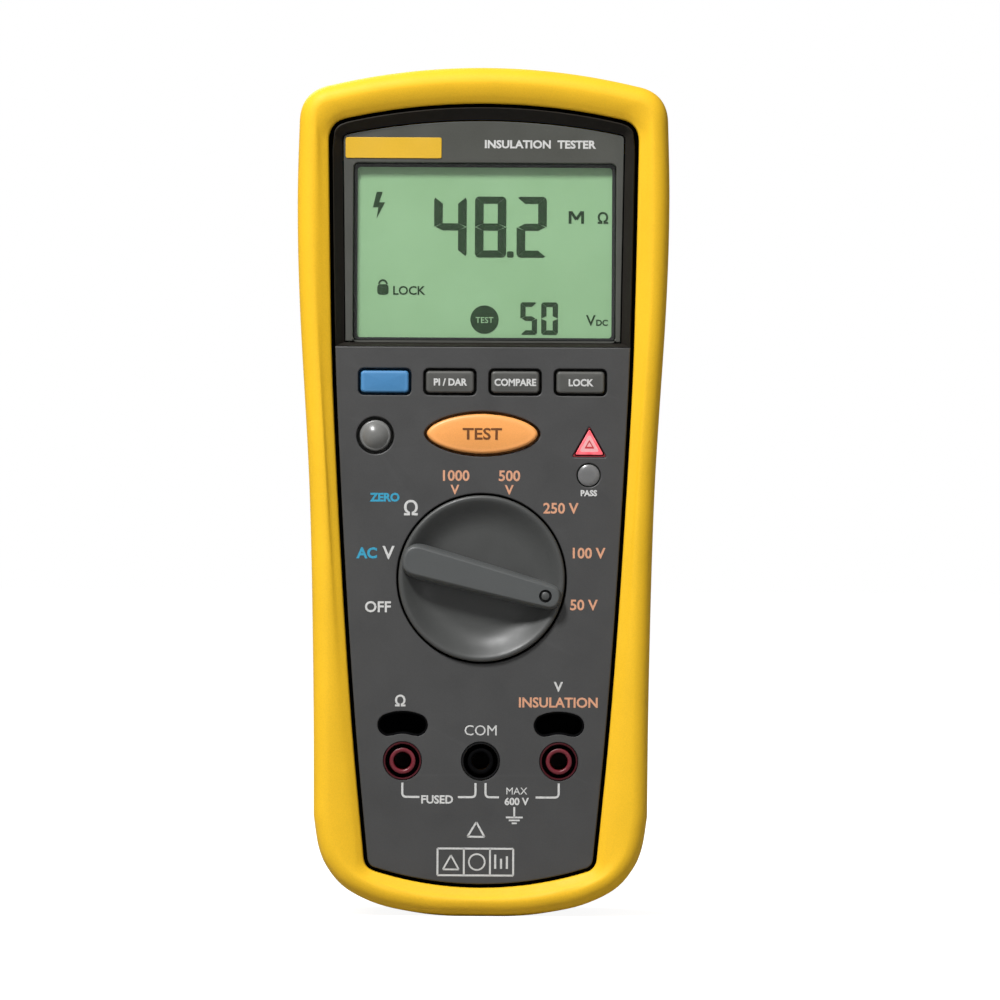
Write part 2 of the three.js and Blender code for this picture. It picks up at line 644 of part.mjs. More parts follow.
// Rear half: rounded tub with screw pillars, a sunk frame for the stand and a stepped battery opening.
function rearShell() {
  const front = SEAM + SEAM_HALF;
  const blank = keepBetween(softSlab(CASE, SEAM - 20, BACK, BACK_ROUND, 4), front, BACK);
  const pocketLow = STAND.low - 0.4;
  const pocketHigh = STAND.hinge + STAND.barrel + 0.4;
  const pocketHalf = STAND.half + 0.3;
  const pocketFloor = STAND_BACK - STAND.thick - 0.3;
  const backing = box([-pocketHalf - 2, pocketHalf + 2], [pocketFloor - POCKET_WALL, SHELL_FLOOR + 1],
    [pocketLow - 2, pocketHigh + 2]);
  let hollow = cut(slab(CAVITY, front - 1, SHELL_FLOOR), backing);
  for (const [x, z] of screwPlaces) hollow = cut(hollow, rod(SCREW_PILLAR, front, SHELL_FLOOR + 1, x, z));
  let shell = cut(blank, hollow);
  const island = rectangle(0, doorMiddle, 2 * DOOR.half + 2.6, DOOR.high - DOOR.low + 2.6, 1.5);
  const pocketMiddle = (pocketLow + pocketHigh) / 2;
  const pocket = rectangle(0, pocketMiddle, 2 * pocketHalf, pocketHigh - pocketLow, 0.5, 1);
  shell = cut(shell, cut(slab(pocket, pocketFloor, BACK + 1), slab(island, pocketFloor - 1, BACK + 2)));
  const rebate = rectangle(0, doorMiddle, 2 * DOOR.half + 0.6, DOOR.high - DOOR.low + 0.6, 1);
  shell = cut(shell, slab(rebate, BACK - DOOR.thick - 0.3, BACK + 1));
  const bayHalf = DOOR.half + GAP;
  shell = cut(shell, box([-bayHalf, bayHalf], [0, BACK], [TRAY.low - GAP, TRAY.high + GAP]));
  for (const z of lockPlaces) shell = cut(shell, rod(1.3, 0, BACK, 0, z, 12));
  for (const [x, z] of screwPlaces) {
    const well = rod(SCREW_WELL.radius, BACK - SCREW_WELL.depth, BACK + 1, x, z, 16);
    shell = cut(shell, rod(SCREW_SHANK + 0.25, -5, BACK + 1, x, z, 12), well);
  }
  shell = cut(shell, softSlab(rectangle(0, STAND.low - 0.5, 20, 8, 3), BACK - 2.4, BACK + 4, 1.2, 1));
  for (const side of [-1, 1]) {
    const x = side * (pocketHalf + 0.8);
    shell = cut(shell, crossRod(0.95, [x - 1.2, x + 1.2], STAND_PIVOT_Y, STAND.hinge, 12));
  }
  return shell;
}

// Flat frame that lies round the battery door and swings out on the pin along its top.
function tiltStand() {
  const front = STAND_BACK - STAND.thick;
  const high = STAND.hinge;
  const outer = rectangle(0, (STAND.low + high) / 2, 2 * STAND.half, high - STAND.low, 1.6);
  const windowLow = STAND.low + STAND.bar;
  const windowHigh = DOOR.high + 1.6;
  const inner = rectangle(0, (windowLow + windowHigh) / 2, 2 * (STAND.half - STAND.leg),
    windowHigh - windowLow, 1.4);
  const barrel = crossRod(STAND.barrel, [-STAND.half, STAND.half], STAND_PIVOT_Y, STAND.hinge, 20);
  const plate = cut(slab(outer, front, STAND_BACK), slab(inner, front - 1, STAND_BACK + 1));
  const aboveAxis = box([-50, 50], [0, 50], [STAND.hinge - 1.2, STAND.hinge + 5]);
  const bore = crossRod(1, [-STAND.half - 1, STAND.half + 1], STAND_PIVOT_Y, STAND.hinge, 12);
  return cut(join(cut(plate, aboveAxis), barrel), bore);
}

// One steel rod through the stand's barrel, held at both ends in the rear shell.
function standPin() {
  const reach = STAND.half + 1.6;
  return crossRod(0.9, [-reach, reach], STAND_PIVOT_Y, STAND.hinge, 12);
}

function batteryDoor() {
  const face = rectangle(0, doorMiddle, 2 * DOOR.half, DOOR.high - DOOR.low, 0.8);
  let door = slab(face, BACK - DOOR.thick, BACK);
  for (const z of lockPlaces) {
    door = cut(door, rod(2.75, BACK - 1.4, BACK + 1, 0, z, 20), rod(1.2, 0, BACK + 1, 0, z, 12));
  }
  for (let n = -2; n <= 2; n += 1) {
    const groove = rectangle(0, doorMiddle + 5 * n, 30, 1.6, 0.7, 2);
    door = cut(door, slab(groove, BACK - 0.6, BACK + 1));
  }
  return door;
}

// Slotted head on a plain shank, centred on x = 0, z = 0.
function doorLock() {
  const lock = join(rod(2.5, BACK - 1.2, BACK - 0.2, 0, 0, 20), rod(1.05, 19.2, BACK - 1, 0, 0, 12));
  return cut(lock, box([-2, 2], [BACK - 0.8, BACK], [-0.45, 0.45]));
}

function batteryTray() {
  const outer = box([-TRAY.half, TRAY.half], [TRAY.front, BACK - DOOR.thick - 0.5], [TRAY.low, TRAY.high]);
  const inner = box([TRAY.wall - TRAY.half, TRAY.half - TRAY.wall], [TRAY.front + 1.1, BACK],
    [TRAY.low + TRAY.end, TRAY.high - TRAY.end]);
  return cut(outer, inner);
}

// AA cell lying along X with its button at the +X end, centred on x = 0.
function cell() {
  const can = crossRod(CELL_RADIUS, [-24.7, 24.6], CELL_Y, 0, 20);
  return join(can, crossRod(2.7, [24.5, 25.6], CELL_Y, 0, 12));
}

const cellPlaces = [0, 1, 2, 3].map((n) => doorMiddle + (n - 1.5) * CELL_PITCH);

// Plate against the tray's end wall. A low cone presses on each cell that shows its flat end.
function cellContact(side, cells) {
  const heights = cells.map((n) => cellPlaces[n]);
  const faces = [side * 25.95, side * 26.3].sort((a, b) => a - b);
  const reach = [Math.min(...heights) - 5, Math.max(...heights) + 5];
  let plate = box(faces, [CELL_Y - 4.5, CELL_Y + 4.5], reach);
  for (const n of cells) {
    const flatEnd = n % 2 === 0 ? -1 : 1;
    if (flatEnd !== side) continue;
    const geometry = new THREE.CylinderGeometry(2, 3.6, 1, 12);
    geometry.rotateZ(side * 90 * DEG);
    geometry.translate(side * 25.5, CELL_Y, cellPlaces[n]);
    plate = join(plate, solid(geometry));
  }
  return plate;
}

// Case screw centred on x = 0, z = 0: cross-slotted head and a plain shank.
function caseScrew() {
  const head = rod(2.7, BACK - 3.3, BACK - 1.6, 0, 0, 16);
  const shank = rod(SCREW_SHANK, SEAM - 10, BACK - 3, 0, 0, 12);
  const slots = join(box([-1.6, 1.6], [BACK - 2.4, BACK], [-0.35, 0.35]),
    box([-0.35, 0.35], [BACK - 2.4, BACK], [-1.6, 1.6]));
  return cut(join(head, shank), slots);
}

// ---------------------------------------------------------------- materials and assembly

function material(color, roughness, metalness = 0, opacity = 1) {
  return new THREE.MeshStandardMaterial({
    color, roughness, metalness, opacity, transparent: opacity < 1,
  });
}

const yellow = () => material('#f7c331', 0.6);
const deckGrey = () => material('#4e4f50', 0.55);
const bezelGrey = () => material('#4a4b48', 0.5);
const keyGrey = () => material('#565753', 0.6);
const black = () => material('#17181a', 0.6);
const steel = () => material('#b9bcc0', 0.3, 1);
const brass = () => material('#c8a24c', 0.35, 1);
const board = () => material('#1f6b3f', 0.55);

const group = new THREE.Group();

function add(name, piece, surface, place = null, parent = group) {
  const result = piece.getMesh();
  const geometry = new THREE.BufferGeometry();
  geometry.setAttribute('position', new THREE.BufferAttribute(result.vertProperties, 3));
  geometry.setIndex(new THREE.BufferAttribute(result.triVerts, 1));
  geometry.computeVertexNormals();
  const mesh = new THREE.Mesh(geometry, surface);
  mesh.name = name;
  if (place) mesh.position.set(...place);
  parent.add(mesh);
}

add('front_rim', frontRim(), yellow());
add('front_deck', frontDeck(), deckGrey());
add('seam_gasket', seamGasket(), black());
add('rear_shell', rearShell(), yellow());

add('display_bezel', displayBezel(), bezelGrey());
add('display_badge', displayBadge(), material('#f0c83a', 0.5));
add('display_window', displayWindow(), material('#dfe8df', 0.08, 0, 0.3));
add('display_glass', displayGlass(), material('#8fb98c', 0.3));
add('display_backlight', displayBacklight(), material('#e6f0dc', 0.5));
add('display_frame', displayFrame(), black());

const keyNames = ['key_shift', 'key_ratio', 'key_compare', 'key_lock'];
keyPlaces.forEach((x, n) => {
  const surface = n === 0 ? material('#4a86bd', 0.55) : keyGrey();
  add(keyNames[n], functionKey(), surface, [x, 0, KEY_Z]);
});
add('key_backlight', roundKey(), material('#6a6b69', 0.5));
add('key_test', testKey(), material('#f7a95a', 0.5));
add('keypad_sheet', keypadSheet(), material('#8d9094', 0.8));
add('warning_lamp_lens', warningLamp(), material('#e2475a', 0.25));
add('pass_lamp_lens', passLamp(), material('#7d7e7e', 0.3));
add('warning_diode', diode(WARN_LAMP.x, WARN_LAMP.z), material('#d64545', 0.25));
add('pass_diode', diode(PASS_LAMP.x, PASS_LAMP.z), material('#5fae66', 0.25));

const dial = new THREE.Group();
dial.position.set(0, 0, KNOB_Z);
dial.rotation.set(0, -KNOB_ANGLE * DEG, 0);
group.add(dial);
add('knob', knobBody(), material('#4b4c4c', 0.5), null, dial);
add('knob_index', knobIndex(), material('#2b2c2d', 0.5), null, dial);
add('knob_shaft', knobShaft(), material('#d8d4c8', 0.5), null, dial);
add('switch_rotor', switchRotor(), material('#e4e0d2', 0.5), null, dial);
add('rotor_wiper', rotorWiper(), brass(), null, dial);
add('detent_ring', detentRing(), material('#dcd8cc', 0.5));

const jacks = [['left', -JACK_PITCH, '#a3313f'], ['com', 0, '#17181a'], ['right', JACK_PITCH, '#a3313f']];
for (const [name, x, color] of jacks) {
  add(`jack_insulator_${name}`, jackInsulator(), material(color, 0.45), [x, 0, JACK_Z]);
  add(`jack_contact_${name}`, jackContact(), brass(), [x, 0, JACK_Z]);
}
add('probe_slot_left', probeSlot(-JACK_PITCH), black());
add('probe_slot_right', probeSlot(JACK_PITCH), black());

add('key_board', keyBoard(), board());
add('main_board', mainBoard(), board());
add('transformer', transformer(), material('#5b4b3a', 0.6));
add('reservoir_capacitor', reservoirCapacitor(), material('#23407a', 0.4));
add('fuse', fuse(), material('#d9d3c4', 0.4));
add('fuse_holder', fuseHolder(), black());

add('battery_tray', batteryTray(), black());
cellPlaces.forEach((z, n) => {
  const mesh = `cell_${n + 1}`;
  add(mesh, cell(), material('#a86f2c', 0.35, 0.6), [0, 0, z]);
  if (n % 2 === 1) {
    const turnedCell = group.children[group.children.length - 1];
    turnedCell.rotation.set(0, Math.PI, 0);
  }
});
add('cell_contact_left_low', cellContact(-1, [0]), steel());
add('cell_contact_left_middle', cellContact(-1, [1, 2]), steel());
add('cell_contact_left_top', cellContact(-1, [3]), steel());
add('cell_contact_right_low', cellContact(1, [0, 1]), steel());
add('cell_contact_right_top', cellContact(1, [2, 3]), steel());

add('tilt_stand', tiltStand(), material('#3c3d3f', 0.6));
add('stand_pin', standPin(), steel());
add('battery_door', batteryDoor(), material('#3c3d3f', 0.6));
lockPlaces.forEach((z, n) => {
  add(n === 0 ? 'door_lock_low' : 'door_lock_high', doorLock(), steel(), [0, 0, z]);
});
screwPlaces.forEach(([x, z], n) => {
  add(`case_screw_${n + 1}`, caseScrew(), steel(), [x, 0, z]);
});

export default group;
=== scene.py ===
"""Looks of the handheld insulation resistance tester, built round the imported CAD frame.

Lengths are millimetres until a mesh is finished, which scales it to metres. X runs to the right of
someone reading the display, Y into the case, Z up; the origin is on the floor under the case.
"""
from math import asin, atan2, copysign, cos, degrees, dist, hypot, pi, radians, sin, sqrt

import bmesh
import bpy
from mathutils import Matrix, Vector


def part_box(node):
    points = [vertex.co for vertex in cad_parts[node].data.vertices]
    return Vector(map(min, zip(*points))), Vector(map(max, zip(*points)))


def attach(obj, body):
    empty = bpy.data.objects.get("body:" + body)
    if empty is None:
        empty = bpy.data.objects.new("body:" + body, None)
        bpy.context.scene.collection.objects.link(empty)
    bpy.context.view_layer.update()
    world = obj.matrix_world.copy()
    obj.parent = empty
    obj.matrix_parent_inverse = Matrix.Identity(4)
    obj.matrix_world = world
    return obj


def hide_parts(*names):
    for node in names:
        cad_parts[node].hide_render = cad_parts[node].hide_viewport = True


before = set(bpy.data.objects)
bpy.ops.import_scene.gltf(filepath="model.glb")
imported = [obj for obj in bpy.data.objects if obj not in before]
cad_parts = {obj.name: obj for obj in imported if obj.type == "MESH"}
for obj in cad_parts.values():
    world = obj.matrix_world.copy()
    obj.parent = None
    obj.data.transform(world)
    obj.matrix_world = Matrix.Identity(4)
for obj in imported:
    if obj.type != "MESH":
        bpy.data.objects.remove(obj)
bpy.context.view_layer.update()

MM = 0.001


# ------------------------------------------------------------------ places taken from the frame

def span(node):
    """A CAD node's box in millimetres: (low corner, high corner)."""
    low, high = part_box(node)
    return [v / MM for v in low], [v / MM for v in high]


def middle(node):
    low, high = span(node)
    return [(a + b) / 2 for a, b in zip(low, high)]


CASE_TOP = span("front_rim")[1][2]
BACK = span("rear_shell")[1][1]
RIM_FRONT = span("front_rim")[0][1]
RIM_BACK = span("front_rim")[1][1]
SHELL_FRONT = span("rear_shell")[0][1]
DECK_FRONT = span("front_deck")[0][1]
DECK_BACK = span("display_bezel")[1][1]
BEZEL_FRONT = span("display_bezel")[0][1]
GLASS_FRONT = span("display_glass")[0][1]
KNOB_FRONT = span("knob")[0][1]
KNOB_BACK = span("knob")[1][1]
KNOB_Z = middle("knob")[2]
KNOB_RADIUS = span("knob")[1][0]
JACK_X = middle("jack_insulator_right")[0]
JACK_Z = middle("jack_insulator_com")[2]
KEYS = ["key_shift", "key_ratio", "key_compare", "key_lock"]
KEY_X = [middle(name)[0] for name in KEYS]
KEY_Z = middle("key_shift")[2]
ROUND_X, _, ROUND_Z = middle("key_backlight")
TEST_X, _, TEST_Z = middle("key_test")
WARN_X, _, WARN_Z = middle("warning_lamp_lens")
PASS_X, _, PASS_Z = middle("pass_lamp_lens")

# Sizes that a node's box doesn't give
CASE_FOOT = [(0, 0), (0.05, 7.5), (0.75, 15), (2.75, 24.4), (6.4, 32), (11.2, 36.4), (16.5, 38.7), (24, 39.9)]
CASE_SIDE = [(24, 39.9), (59, 40.2), (102, 41.3), (145, 43.8), (170, 44.5), (190, 44.1)]
OPENING_SIDE = [(14, 27.5), (44.7, 30.4), (80.5, 32.95), (123.5, 35.3), (150, 36.1), (185, 36.7)]
CASE_CROWN = 158
OPENING_TOP, OPENING_CROWN = 194, 150
OPENING_BOTTOM, OPENING_SOLE = 7.2, 84
DECK_GAP = 0.5
RIM_RELIEF = 0.42
DISPLAY_FLOOR = 136.2
BEZEL_TOP, BEZEL_CROWN, BEZEL_CORNER = 190.6, 165, 1.2
BEZEL_HALF_TOP, BEZEL_HALF_LOW, BEZEL_LOW = 33.9, 33.2, 137.2
WINDOW = (0.3, 158.9, 62.9, 42.7)
KEY_WIDTH, KEY_HEIGHT = 11.5, 5.2
TEST_HALF, TEST_RISE = 13.25, 4.75
ROUND_RADIUS = 3.75
SLOT_REACH, SLOT_HALF, SLOT_SPREAD = 9.2, 2.6, 21


# ------------------------------------------------------------------ outlines

def quad(a, corner, b, steps):
    """Points along a quadratic bend from a to b, without a."""
    points = []
    for k in range(1, steps + 1):
        t = k / steps
        points.append(tuple((1 - t) ** 2 * p + 2 * t * (1 - t) * c + t * t * q
                            for p, c, q in zip(a, corner, b)))
    return points


def side_curve(stations, steps):
    """Smooth curve through (height, half width) stations as (x, z), without its first point."""
    pts = [(x, z) for z, x in stations]
    last = len(pts) - 1
    out = []
    for i in range(last):
        four = zip(pts[max(i - 1, 0)], pts[i], pts[i + 1], pts[min(i + 2, last)])
        bends = [(b, (c - a) / 2, c, (d - b) / 2) for a, b, c, d in four]
        for k in range(1, steps + 1):
            t = k / steps
            out.append(tuple((2 * b - 2 * c + u + v) * t ** 3 + (-3 * b + 3 * c - 2 * u - v) * t * t
                             + u * t + b for b, u, c, v in bends))
    return out


def crown(top, radius, x):
    return top - radius + sqrt(radius * radius - x * x)


def crown_points(top, radius, edge, steps=20):
    """Points along a crown from its edge to the middle, without the first."""
    return [(edge * (1 - k / steps), crown(top, radius, edge * (1 - k / steps))) for k in range(1, steps + 1)]


def arc(x, z, radius, start, end, steps):
    """Points of a circle from one angle to another, in degrees."""
    turns = [radians(start + (end - start) * k / steps) for k in range(steps + 1)]
    return [(x + radius * cos(turn), z + radius * sin(turn)) for turn in turns]


def between(a, b, share):
    """Points that lie the given share of the way from outline a to outline b."""
    return [(ax + share * (bx - ax), az + share * (bz - az)) for (ax, az), (bx, bz) in zip(a, b)]


def mirrored(half):
    """Closed outline from its right half, listed upwards from the bottom."""
    return half + [(-x, z) for x, z in reversed(half) if x > 1e-6]


def case_outline():
    edge = 36.5
    half = [(0, 0)] + [(x, max(z, 0)) for x, z in side_curve(CASE_FOOT, 5)]
    half += side_curve(CASE_SIDE, 10)
    half += quad(half[-1], (43.9, 197.4), (edge, crown(CASE_TOP, CASE_CROWN, edge)), 20)
    return mirrored(half + crown_points(CASE_TOP, CASE_CROWN, edge))


def opening_outline():
    edge, sole_edge = 33, 25.5

    def sole(x):
        return OPENING_BOTTOM + OPENING_SOLE - sqrt(OPENING_SOLE ** 2 - x * x)

    half = [(sole_edge * k / 11, sole(sole_edge * k / 11)) for k in range(12)]
    half += quad(half[-1], (27.3, sole(27.3)), OPENING_SIDE[0][::-1], 24)
    half += side_curve(OPENING_SIDE, 10)
    corner = (36.8, crown(OPENING_TOP, OPENING_CROWN, 36.8))
    half += quad(half[-1], corner, (edge, crown(OPENING_TOP, OPENING_CROWN, edge)), 20)
    return mirrored(half + crown_points(OPENING_TOP, OPENING_CROWN, edge))


def bezel_outline():
    """Display surround, with one corner at each lower end."""
    edge = BEZEL_HALF_TOP - BEZEL_CORNER
    corner = (BEZEL_HALF_TOP, crown(BEZEL_TOP, BEZEL_CROWN, BEZEL_HALF_TOP))
    low, start = (BEZEL_HALF_LOW, BEZEL_LOW), (BEZEL_HALF_TOP, corner[1] - BEZEL_CORNER)
    half = [(BEZEL_HALF_LOW * k / 10, BEZEL_LOW) for k in range(11)]
    half += [between([low], [start], k / 12)[0] for k in range(1, 13)]
    half += quad(start, corner, (edge, crown(BEZEL_TOP, BEZEL_CROWN, edge)), 6)
    return mirrored(half + crown_points(BEZEL_TOP, BEZEL_CROWN, edge))


def inset(points, distance):
    """Closed anticlockwise outline moved inwards, or outwards when distance is negative."""
    out = []
    count = len(points)
    for i, (x, z) in enumerate(points):
        ax, az = x - points[i - 1][0], z - points[i - 1][1]
        bx, bz = points[(i + 1) % count][0] - x, points[(i + 1) % count][1] - z
        la, lb = hypot(ax, az), hypot(bx, bz)
        n1, n2 = (-az / la, ax / la), (-bz / lb, bx / lb)
        nx, nz = n1[0] + n2[0], n1[1] + n2[1]
        size = hypot(nx, nz)
        nx, nz = nx / size, nz / size
        stretch = distance / max(nx * n2[0] + nz * n2[1], 0.4)
        out.append((x + nx * stretch, z + nz * stretch))
    return out


def circle(x, z, radius, sides=48):
    return arc(x, z, radius, 0, 360, sides)[:-1]


def rectangle(x, z, width, height, radius, steps=6):
    points = []
    for i, (right, up) in enumerate(((1, -1), (1, 1), (-1, 1), (-1, -1))):
        cx, cz = x + right * (width / 2 - radius), z + up * (height / 2 - radius)
        points += arc(cx, cz, radius, 90 * (i - 1), 90 * i, steps)
    return points


def oval(half, rise, count=96):
    """The TEST key's shape: an oval drawn in towards its two ends."""
    power = 2 / 1.85
    return [(TEST_X + half * copysign(abs(c) ** power, c), TEST_Z + rise * copysign(abs(s) ** power, s))
            for c, s in circle(0, 0, 1, count)]


def kidney(x, half):
    """Bean-shaped outline bent round a socket, of the given half width."""
    right, left = 90 - SLOT_SPREAD, 90 + SLOT_SPREAD
    first, second = arc(x, JACK_Z, SLOT_REACH, right, left, 1)
    return (arc(*first, half, right - 150, right - 12, 12)
            + arc(x, JACK_Z, SLOT_REACH + half, right, left, 12)
            + arc(*second, half, left + 12, left + 150, 12)
            + arc(x, JACK_Z, SLOT_REACH - half, left - 1, right + 1, 6))


def triangle(x, z, width, height, radius=0.35):
    """Triangle with its apex up and its corners slightly rounded."""
    corners = [(x - width / 2, z - height / 2), (x + width / 2, z - height / 2), (x, z + height / 2)]
    points = []
    for i, corner in enumerate(corners):
        start, end = [between([corner], [other], 1.7 * radius / dist(corner, other))[0]
                      for other in (corners[i - 1], corners[(i + 1) % 3])]
        points += [start] + quad(start, corner, end, 4)
    return points


CASE = case_outline()
OPENING = opening_outline()
BEZEL = bezel_outline()


# ------------------------------------------------------------------ mesh building

class Solid:
    """A mesh under construction, in millimetres."""

    def __init__(self):
        self.bm = bmesh.new()

    def ring(self, points, y):
        return [self.bm.verts.new((x, y, z)) for x, z in points]

    def bridge(self, a, b):
        for i in range(len(a)):
            j = (i + 1) % len(a)
            self.bm.faces.new((a[i], a[j], b[j], b[i]))

    def join(self, rings, closed=False):
        """Bridges each ring to the next, and the last to the first when closed."""
        for a, b in zip(rings, rings[1:] + rings[:1] if closed else rings[1:]):
            self.bridge(a, b)

    def wall(self, outline, levels):
        """Rings of one outline, each (inset, y), joined one to the next. Returns the first and last."""
        rings = [self.ring(inset(outline, d) if d else outline, y) for d, y in levels]
        self.join(rings)
        return rings[0], rings[-1]

    def cap(self, ring):
        self.bm.faces.new(ring)

    def fill(self, rings):
        """Flat face bounded by the first ring, with the other rings as its holes."""
        edges = []
        for ring in rings:
            for i, vert in enumerate(ring):
                pair = (vert, ring[(i + 1) % len(ring)])
                edges.append(self.bm.edges.get(pair) or self.bm.edges.new(pair))
        bmesh.ops.triangle_fill(self.bm, use_beauty=True, use_dissolve=False, edges=edges)

    def lathe(self, profile, x, z, sides=64, closed=True):
        """Solid of revolution about Y from a profile of (radius, y) points."""
        rings = [self.ring(circle(x, z, radius, sides) if radius > 1e-6 else [(x, z)], y)
                 for radius, y in profile]
        for a, b in zip(rings, rings[1:] + rings[:1] if closed else rings[1:]):
            if len(a) == len(b):
                self.bridge(a, b)
            else:
                self.fan(*sorted((a, b), key=len))

    def fan(self, tip, ring):
        """Triangles from a single point to every side of a ring."""
        for a, b in zip(ring, ring[1:] + ring[:1]):
            self.bm.faces.new((tip[0], a, b))

    def flat(self, points, front, back):
        """Thin slab of a simple polygon."""
        a = self.ring(points, front)
        b = self.ring(points, back)
        self.bridge(a, b)
        self.cap(a)
        self.cap(b)

    def mesh(self, name, sharp=40):
        bmesh.ops.recalc_face_normals(self.bm, faces=self.bm.faces)
        bmesh.ops.scale(self.bm, vec=(MM, MM, MM), verts=self.bm.verts)
        data = bpy.data.meshes.new(name)
        self.bm.to_mesh(data)
        self.bm.free()
        data.shade_smooth()
        data.set_sharp_from_angle(angle=radians(sharp))
        return data


def piece(name, solid, material, node=None, slot=None, sharp=40, weighted=True, body="case"):
    """Finishes a solid as a scene object that rides on a CAD body and may stand in for a CAD node."""
    obj = bpy.data.objects.new(name, solid.mesh(name, sharp))
    bpy.context.scene.collection.objects.link(obj)
    obj.data.materials.append(M[material])
    if weighted:
        obj.modifiers.new("flat_faces_stay_flat", "WEIGHTED_NORMAL").keep_sharp = True
    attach(obj, body)
    if node:
        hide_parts(node)


def rounding(radius, y, inwards, steps=4, into=1):
    """(inset, y) levels from a flat face at y, over a rounded edge, to the straight wall.

    inwards is +1 for an outer edge and -1 for the rim of a hole; into is +1 where the solid lies at
    greater Y than its face and -1 where it lies at less.
    """
    levels = [(inwards * (radius + 0.16), y), (inwards * (radius + 0.08), y)]
    for k in range(steps + 1):
        angle = pi / 2 * k / steps
        levels.append((inwards * radius * (1 - sin(angle)), y + into * radius * (1 - cos(angle))))
    return levels


def plate(outer, holes, front, back, edge, hole_edge=None, back_edge=0.0):
    """Solid between two flat faces, with rounded front edges and through holes."""
    solid = Solid()
    fronts, backs = [], []
    for outline, side, radius in [(outer, 1, edge)] + [(h, -1, hole_edge or edge) for h in holes]:
        levels = rounding(radius, front, side)
        if back_edge:
            levels += list(reversed(rounding(back_edge, back, side, into=-1)))
        else:
            levels.append((0, back))
        first, last = solid.wall(outline, levels)
        fronts.append(first)
        backs.append(last)
    solid.fill(fronts)
    solid.fill(backs)
    return solid


# ------------------------------------------------------------------ materials

def srgb(red, green, blue):
    def linear(v):
        v /= 255
        return v / 12.92 if v <= 0.04045 else ((v + 0.055) / 1.055) ** 2.4
    return (linear(red), linear(green), linear(blue), 1)


def scaled(colour, factor):
    return tuple(min(1, c * factor) for c in colour[:3]) + (1,)


class Nodes:
    """Small helper that adds linked nodes to a material."""

    def __init__(self, name):
        self.material = bpy.data.materials.new(name)
        self.material.use_nodes = True
        self.tree = self.material.node_tree
        self.shader = self.tree.nodes["Principled BSDF"]
        self.place = self.add("ShaderNodeTexCoord").outputs["Object"]

    def add(self, kind, **values):
        node = self.tree.nodes.new(kind)
        for key, value in values.items():
            setattr(node, key, value)
        return node

    def feed(self, socket, value):
        """Links a node's output to a socket, or sets the socket to a plain value."""
        if isinstance(value, bpy.types.NodeSocket):
            self.tree.links.new(value, socket)
        else:
            socket.default_value = value

    def put(self, name, value):
        self.feed(self.shader.inputs[name], value)

    def noise(self, size, detail=3, stretch=None):
        """Noise whose features are about size millimetres across."""
        node = self.add("ShaderNodeTexNoise")
        node.inputs["Scale"].default_value = 1 / (size * MM)
        node.inputs["Detail"].default_value = detail
        place = self.place
        if stretch:
            mapping = self.add("ShaderNodeMapping")
            mapping.inputs["Scale"].default_value = stretch
            self.feed(mapping.inputs["Vector"], place)
            place = mapping.outputs["Vector"]
        self.feed(node.inputs["Vector"], place)
        return node.outputs["Fac"]

    def span(self, value, low, high, start=0.3, end=0.7):
        node = self.add("ShaderNodeMapRange")
        for socket, given in zip(node.inputs, (value, start, end, low, high)):
            self.feed(socket, given)
        return node.outputs["Result"]

    def mix(self, factor, a, b):
        node = self.add("ShaderNodeMix", data_type="RGBA")
        for socket, value in (("Factor", factor), (6, a), (7, b)):
            self.feed(node.inputs[socket], value)
        return node.outputs[2]

    def bump(self, height, strength, depth, after=None):
        node = self.add("ShaderNodeBump")
        node.inputs["Strength"].default_value = strength
        node.inputs["Distance"].default_value = depth * MM
        self.feed(node.inputs["Height"], height)
        if after:
            self.feed(node.inputs["Normal"], after)
        return node.outputs["Normal"]

    def paler_edges_scuff_and_highlight(self, colour, amount):
        """Convex edges a little paler: partly scuffing, as handled plastic gets, and partly a painted
        highlight where rounded edges catch the light.
        """
        if not amount:
            return colour
        geometry = self.add("ShaderNodeNewGeometry")
        # Convex edges picked out by pointiness are paled: partly scuffing, partly a painted highlight on
        # rounded edges.
        edge = self.span(geometry.outputs["Pointiness"], 0.0, amount, 0.56, 0.68)
        paler = self.add("ShaderNodeHueSaturation")
        paler.inputs["Saturation"].default_value = 0.9
        paler.inputs["Value"].default_value = 1.7
        self.feed(paler.inputs["Color"], colour)
        return self.mix(edge, colour, paler.outputs["Color"])


def plastic(name, rgb, rough=0.5, grain=0.25, grain_size=0.3, drift=0.05, edge_scuff_and_highlight=0.2, gloss=0.5):
    """Moulded plastic: fine spark texture, faint cloudiness, uneven gloss, and paler convex edges that are
    partly scuffing and partly a painted highlight.
    """
    n = Nodes(name)
    colour = srgb(*rgb)
    cloud = n.span(n.noise(22, 4), 0, 1, 0.35, 0.65)
    tone = n.mix(cloud, scaled(colour, 1 - drift), scaled(colour, 1 + drift))
    speck = n.span(n.noise(grain_size, 2), 0, 1, 0.42, 0.6)
    tone = n.mix(n.span(speck, 0, 0.12, 0, 1), tone, scaled(colour, 0.55))
    n.put("Base Color", n.paler_edges_scuff_and_highlight(tone, edge_scuff_and_highlight))
    n.put("Roughness", n.span(n.noise(6, 5), rough - 0.07, rough + 0.07))
    fine = n.bump(n.noise(grain_size, 3), grain, 0.03)
    n.put("Normal", n.bump(n.noise(9, 2), 0.12, 0.12, fine))
    n.put("Specular IOR Level", gloss)
    return n.material


def metal(name, rgb, rough=0.3):
    n = Nodes(name)
    colour = srgb(*rgb)
    lines = n.noise(0.5, 4, (1, 1, 14))
    n.put("Base Color", n.mix(n.span(lines, 0, 1), scaled(colour, 0.85), colour))
    n.put("Roughness", n.span(n.noise(2, 3), rough - 0.08, rough + 0.1))
    n.put("Normal", n.bump(lines, 0.15, 0.02))
    n.put("Metallic", 1)
    return n.material


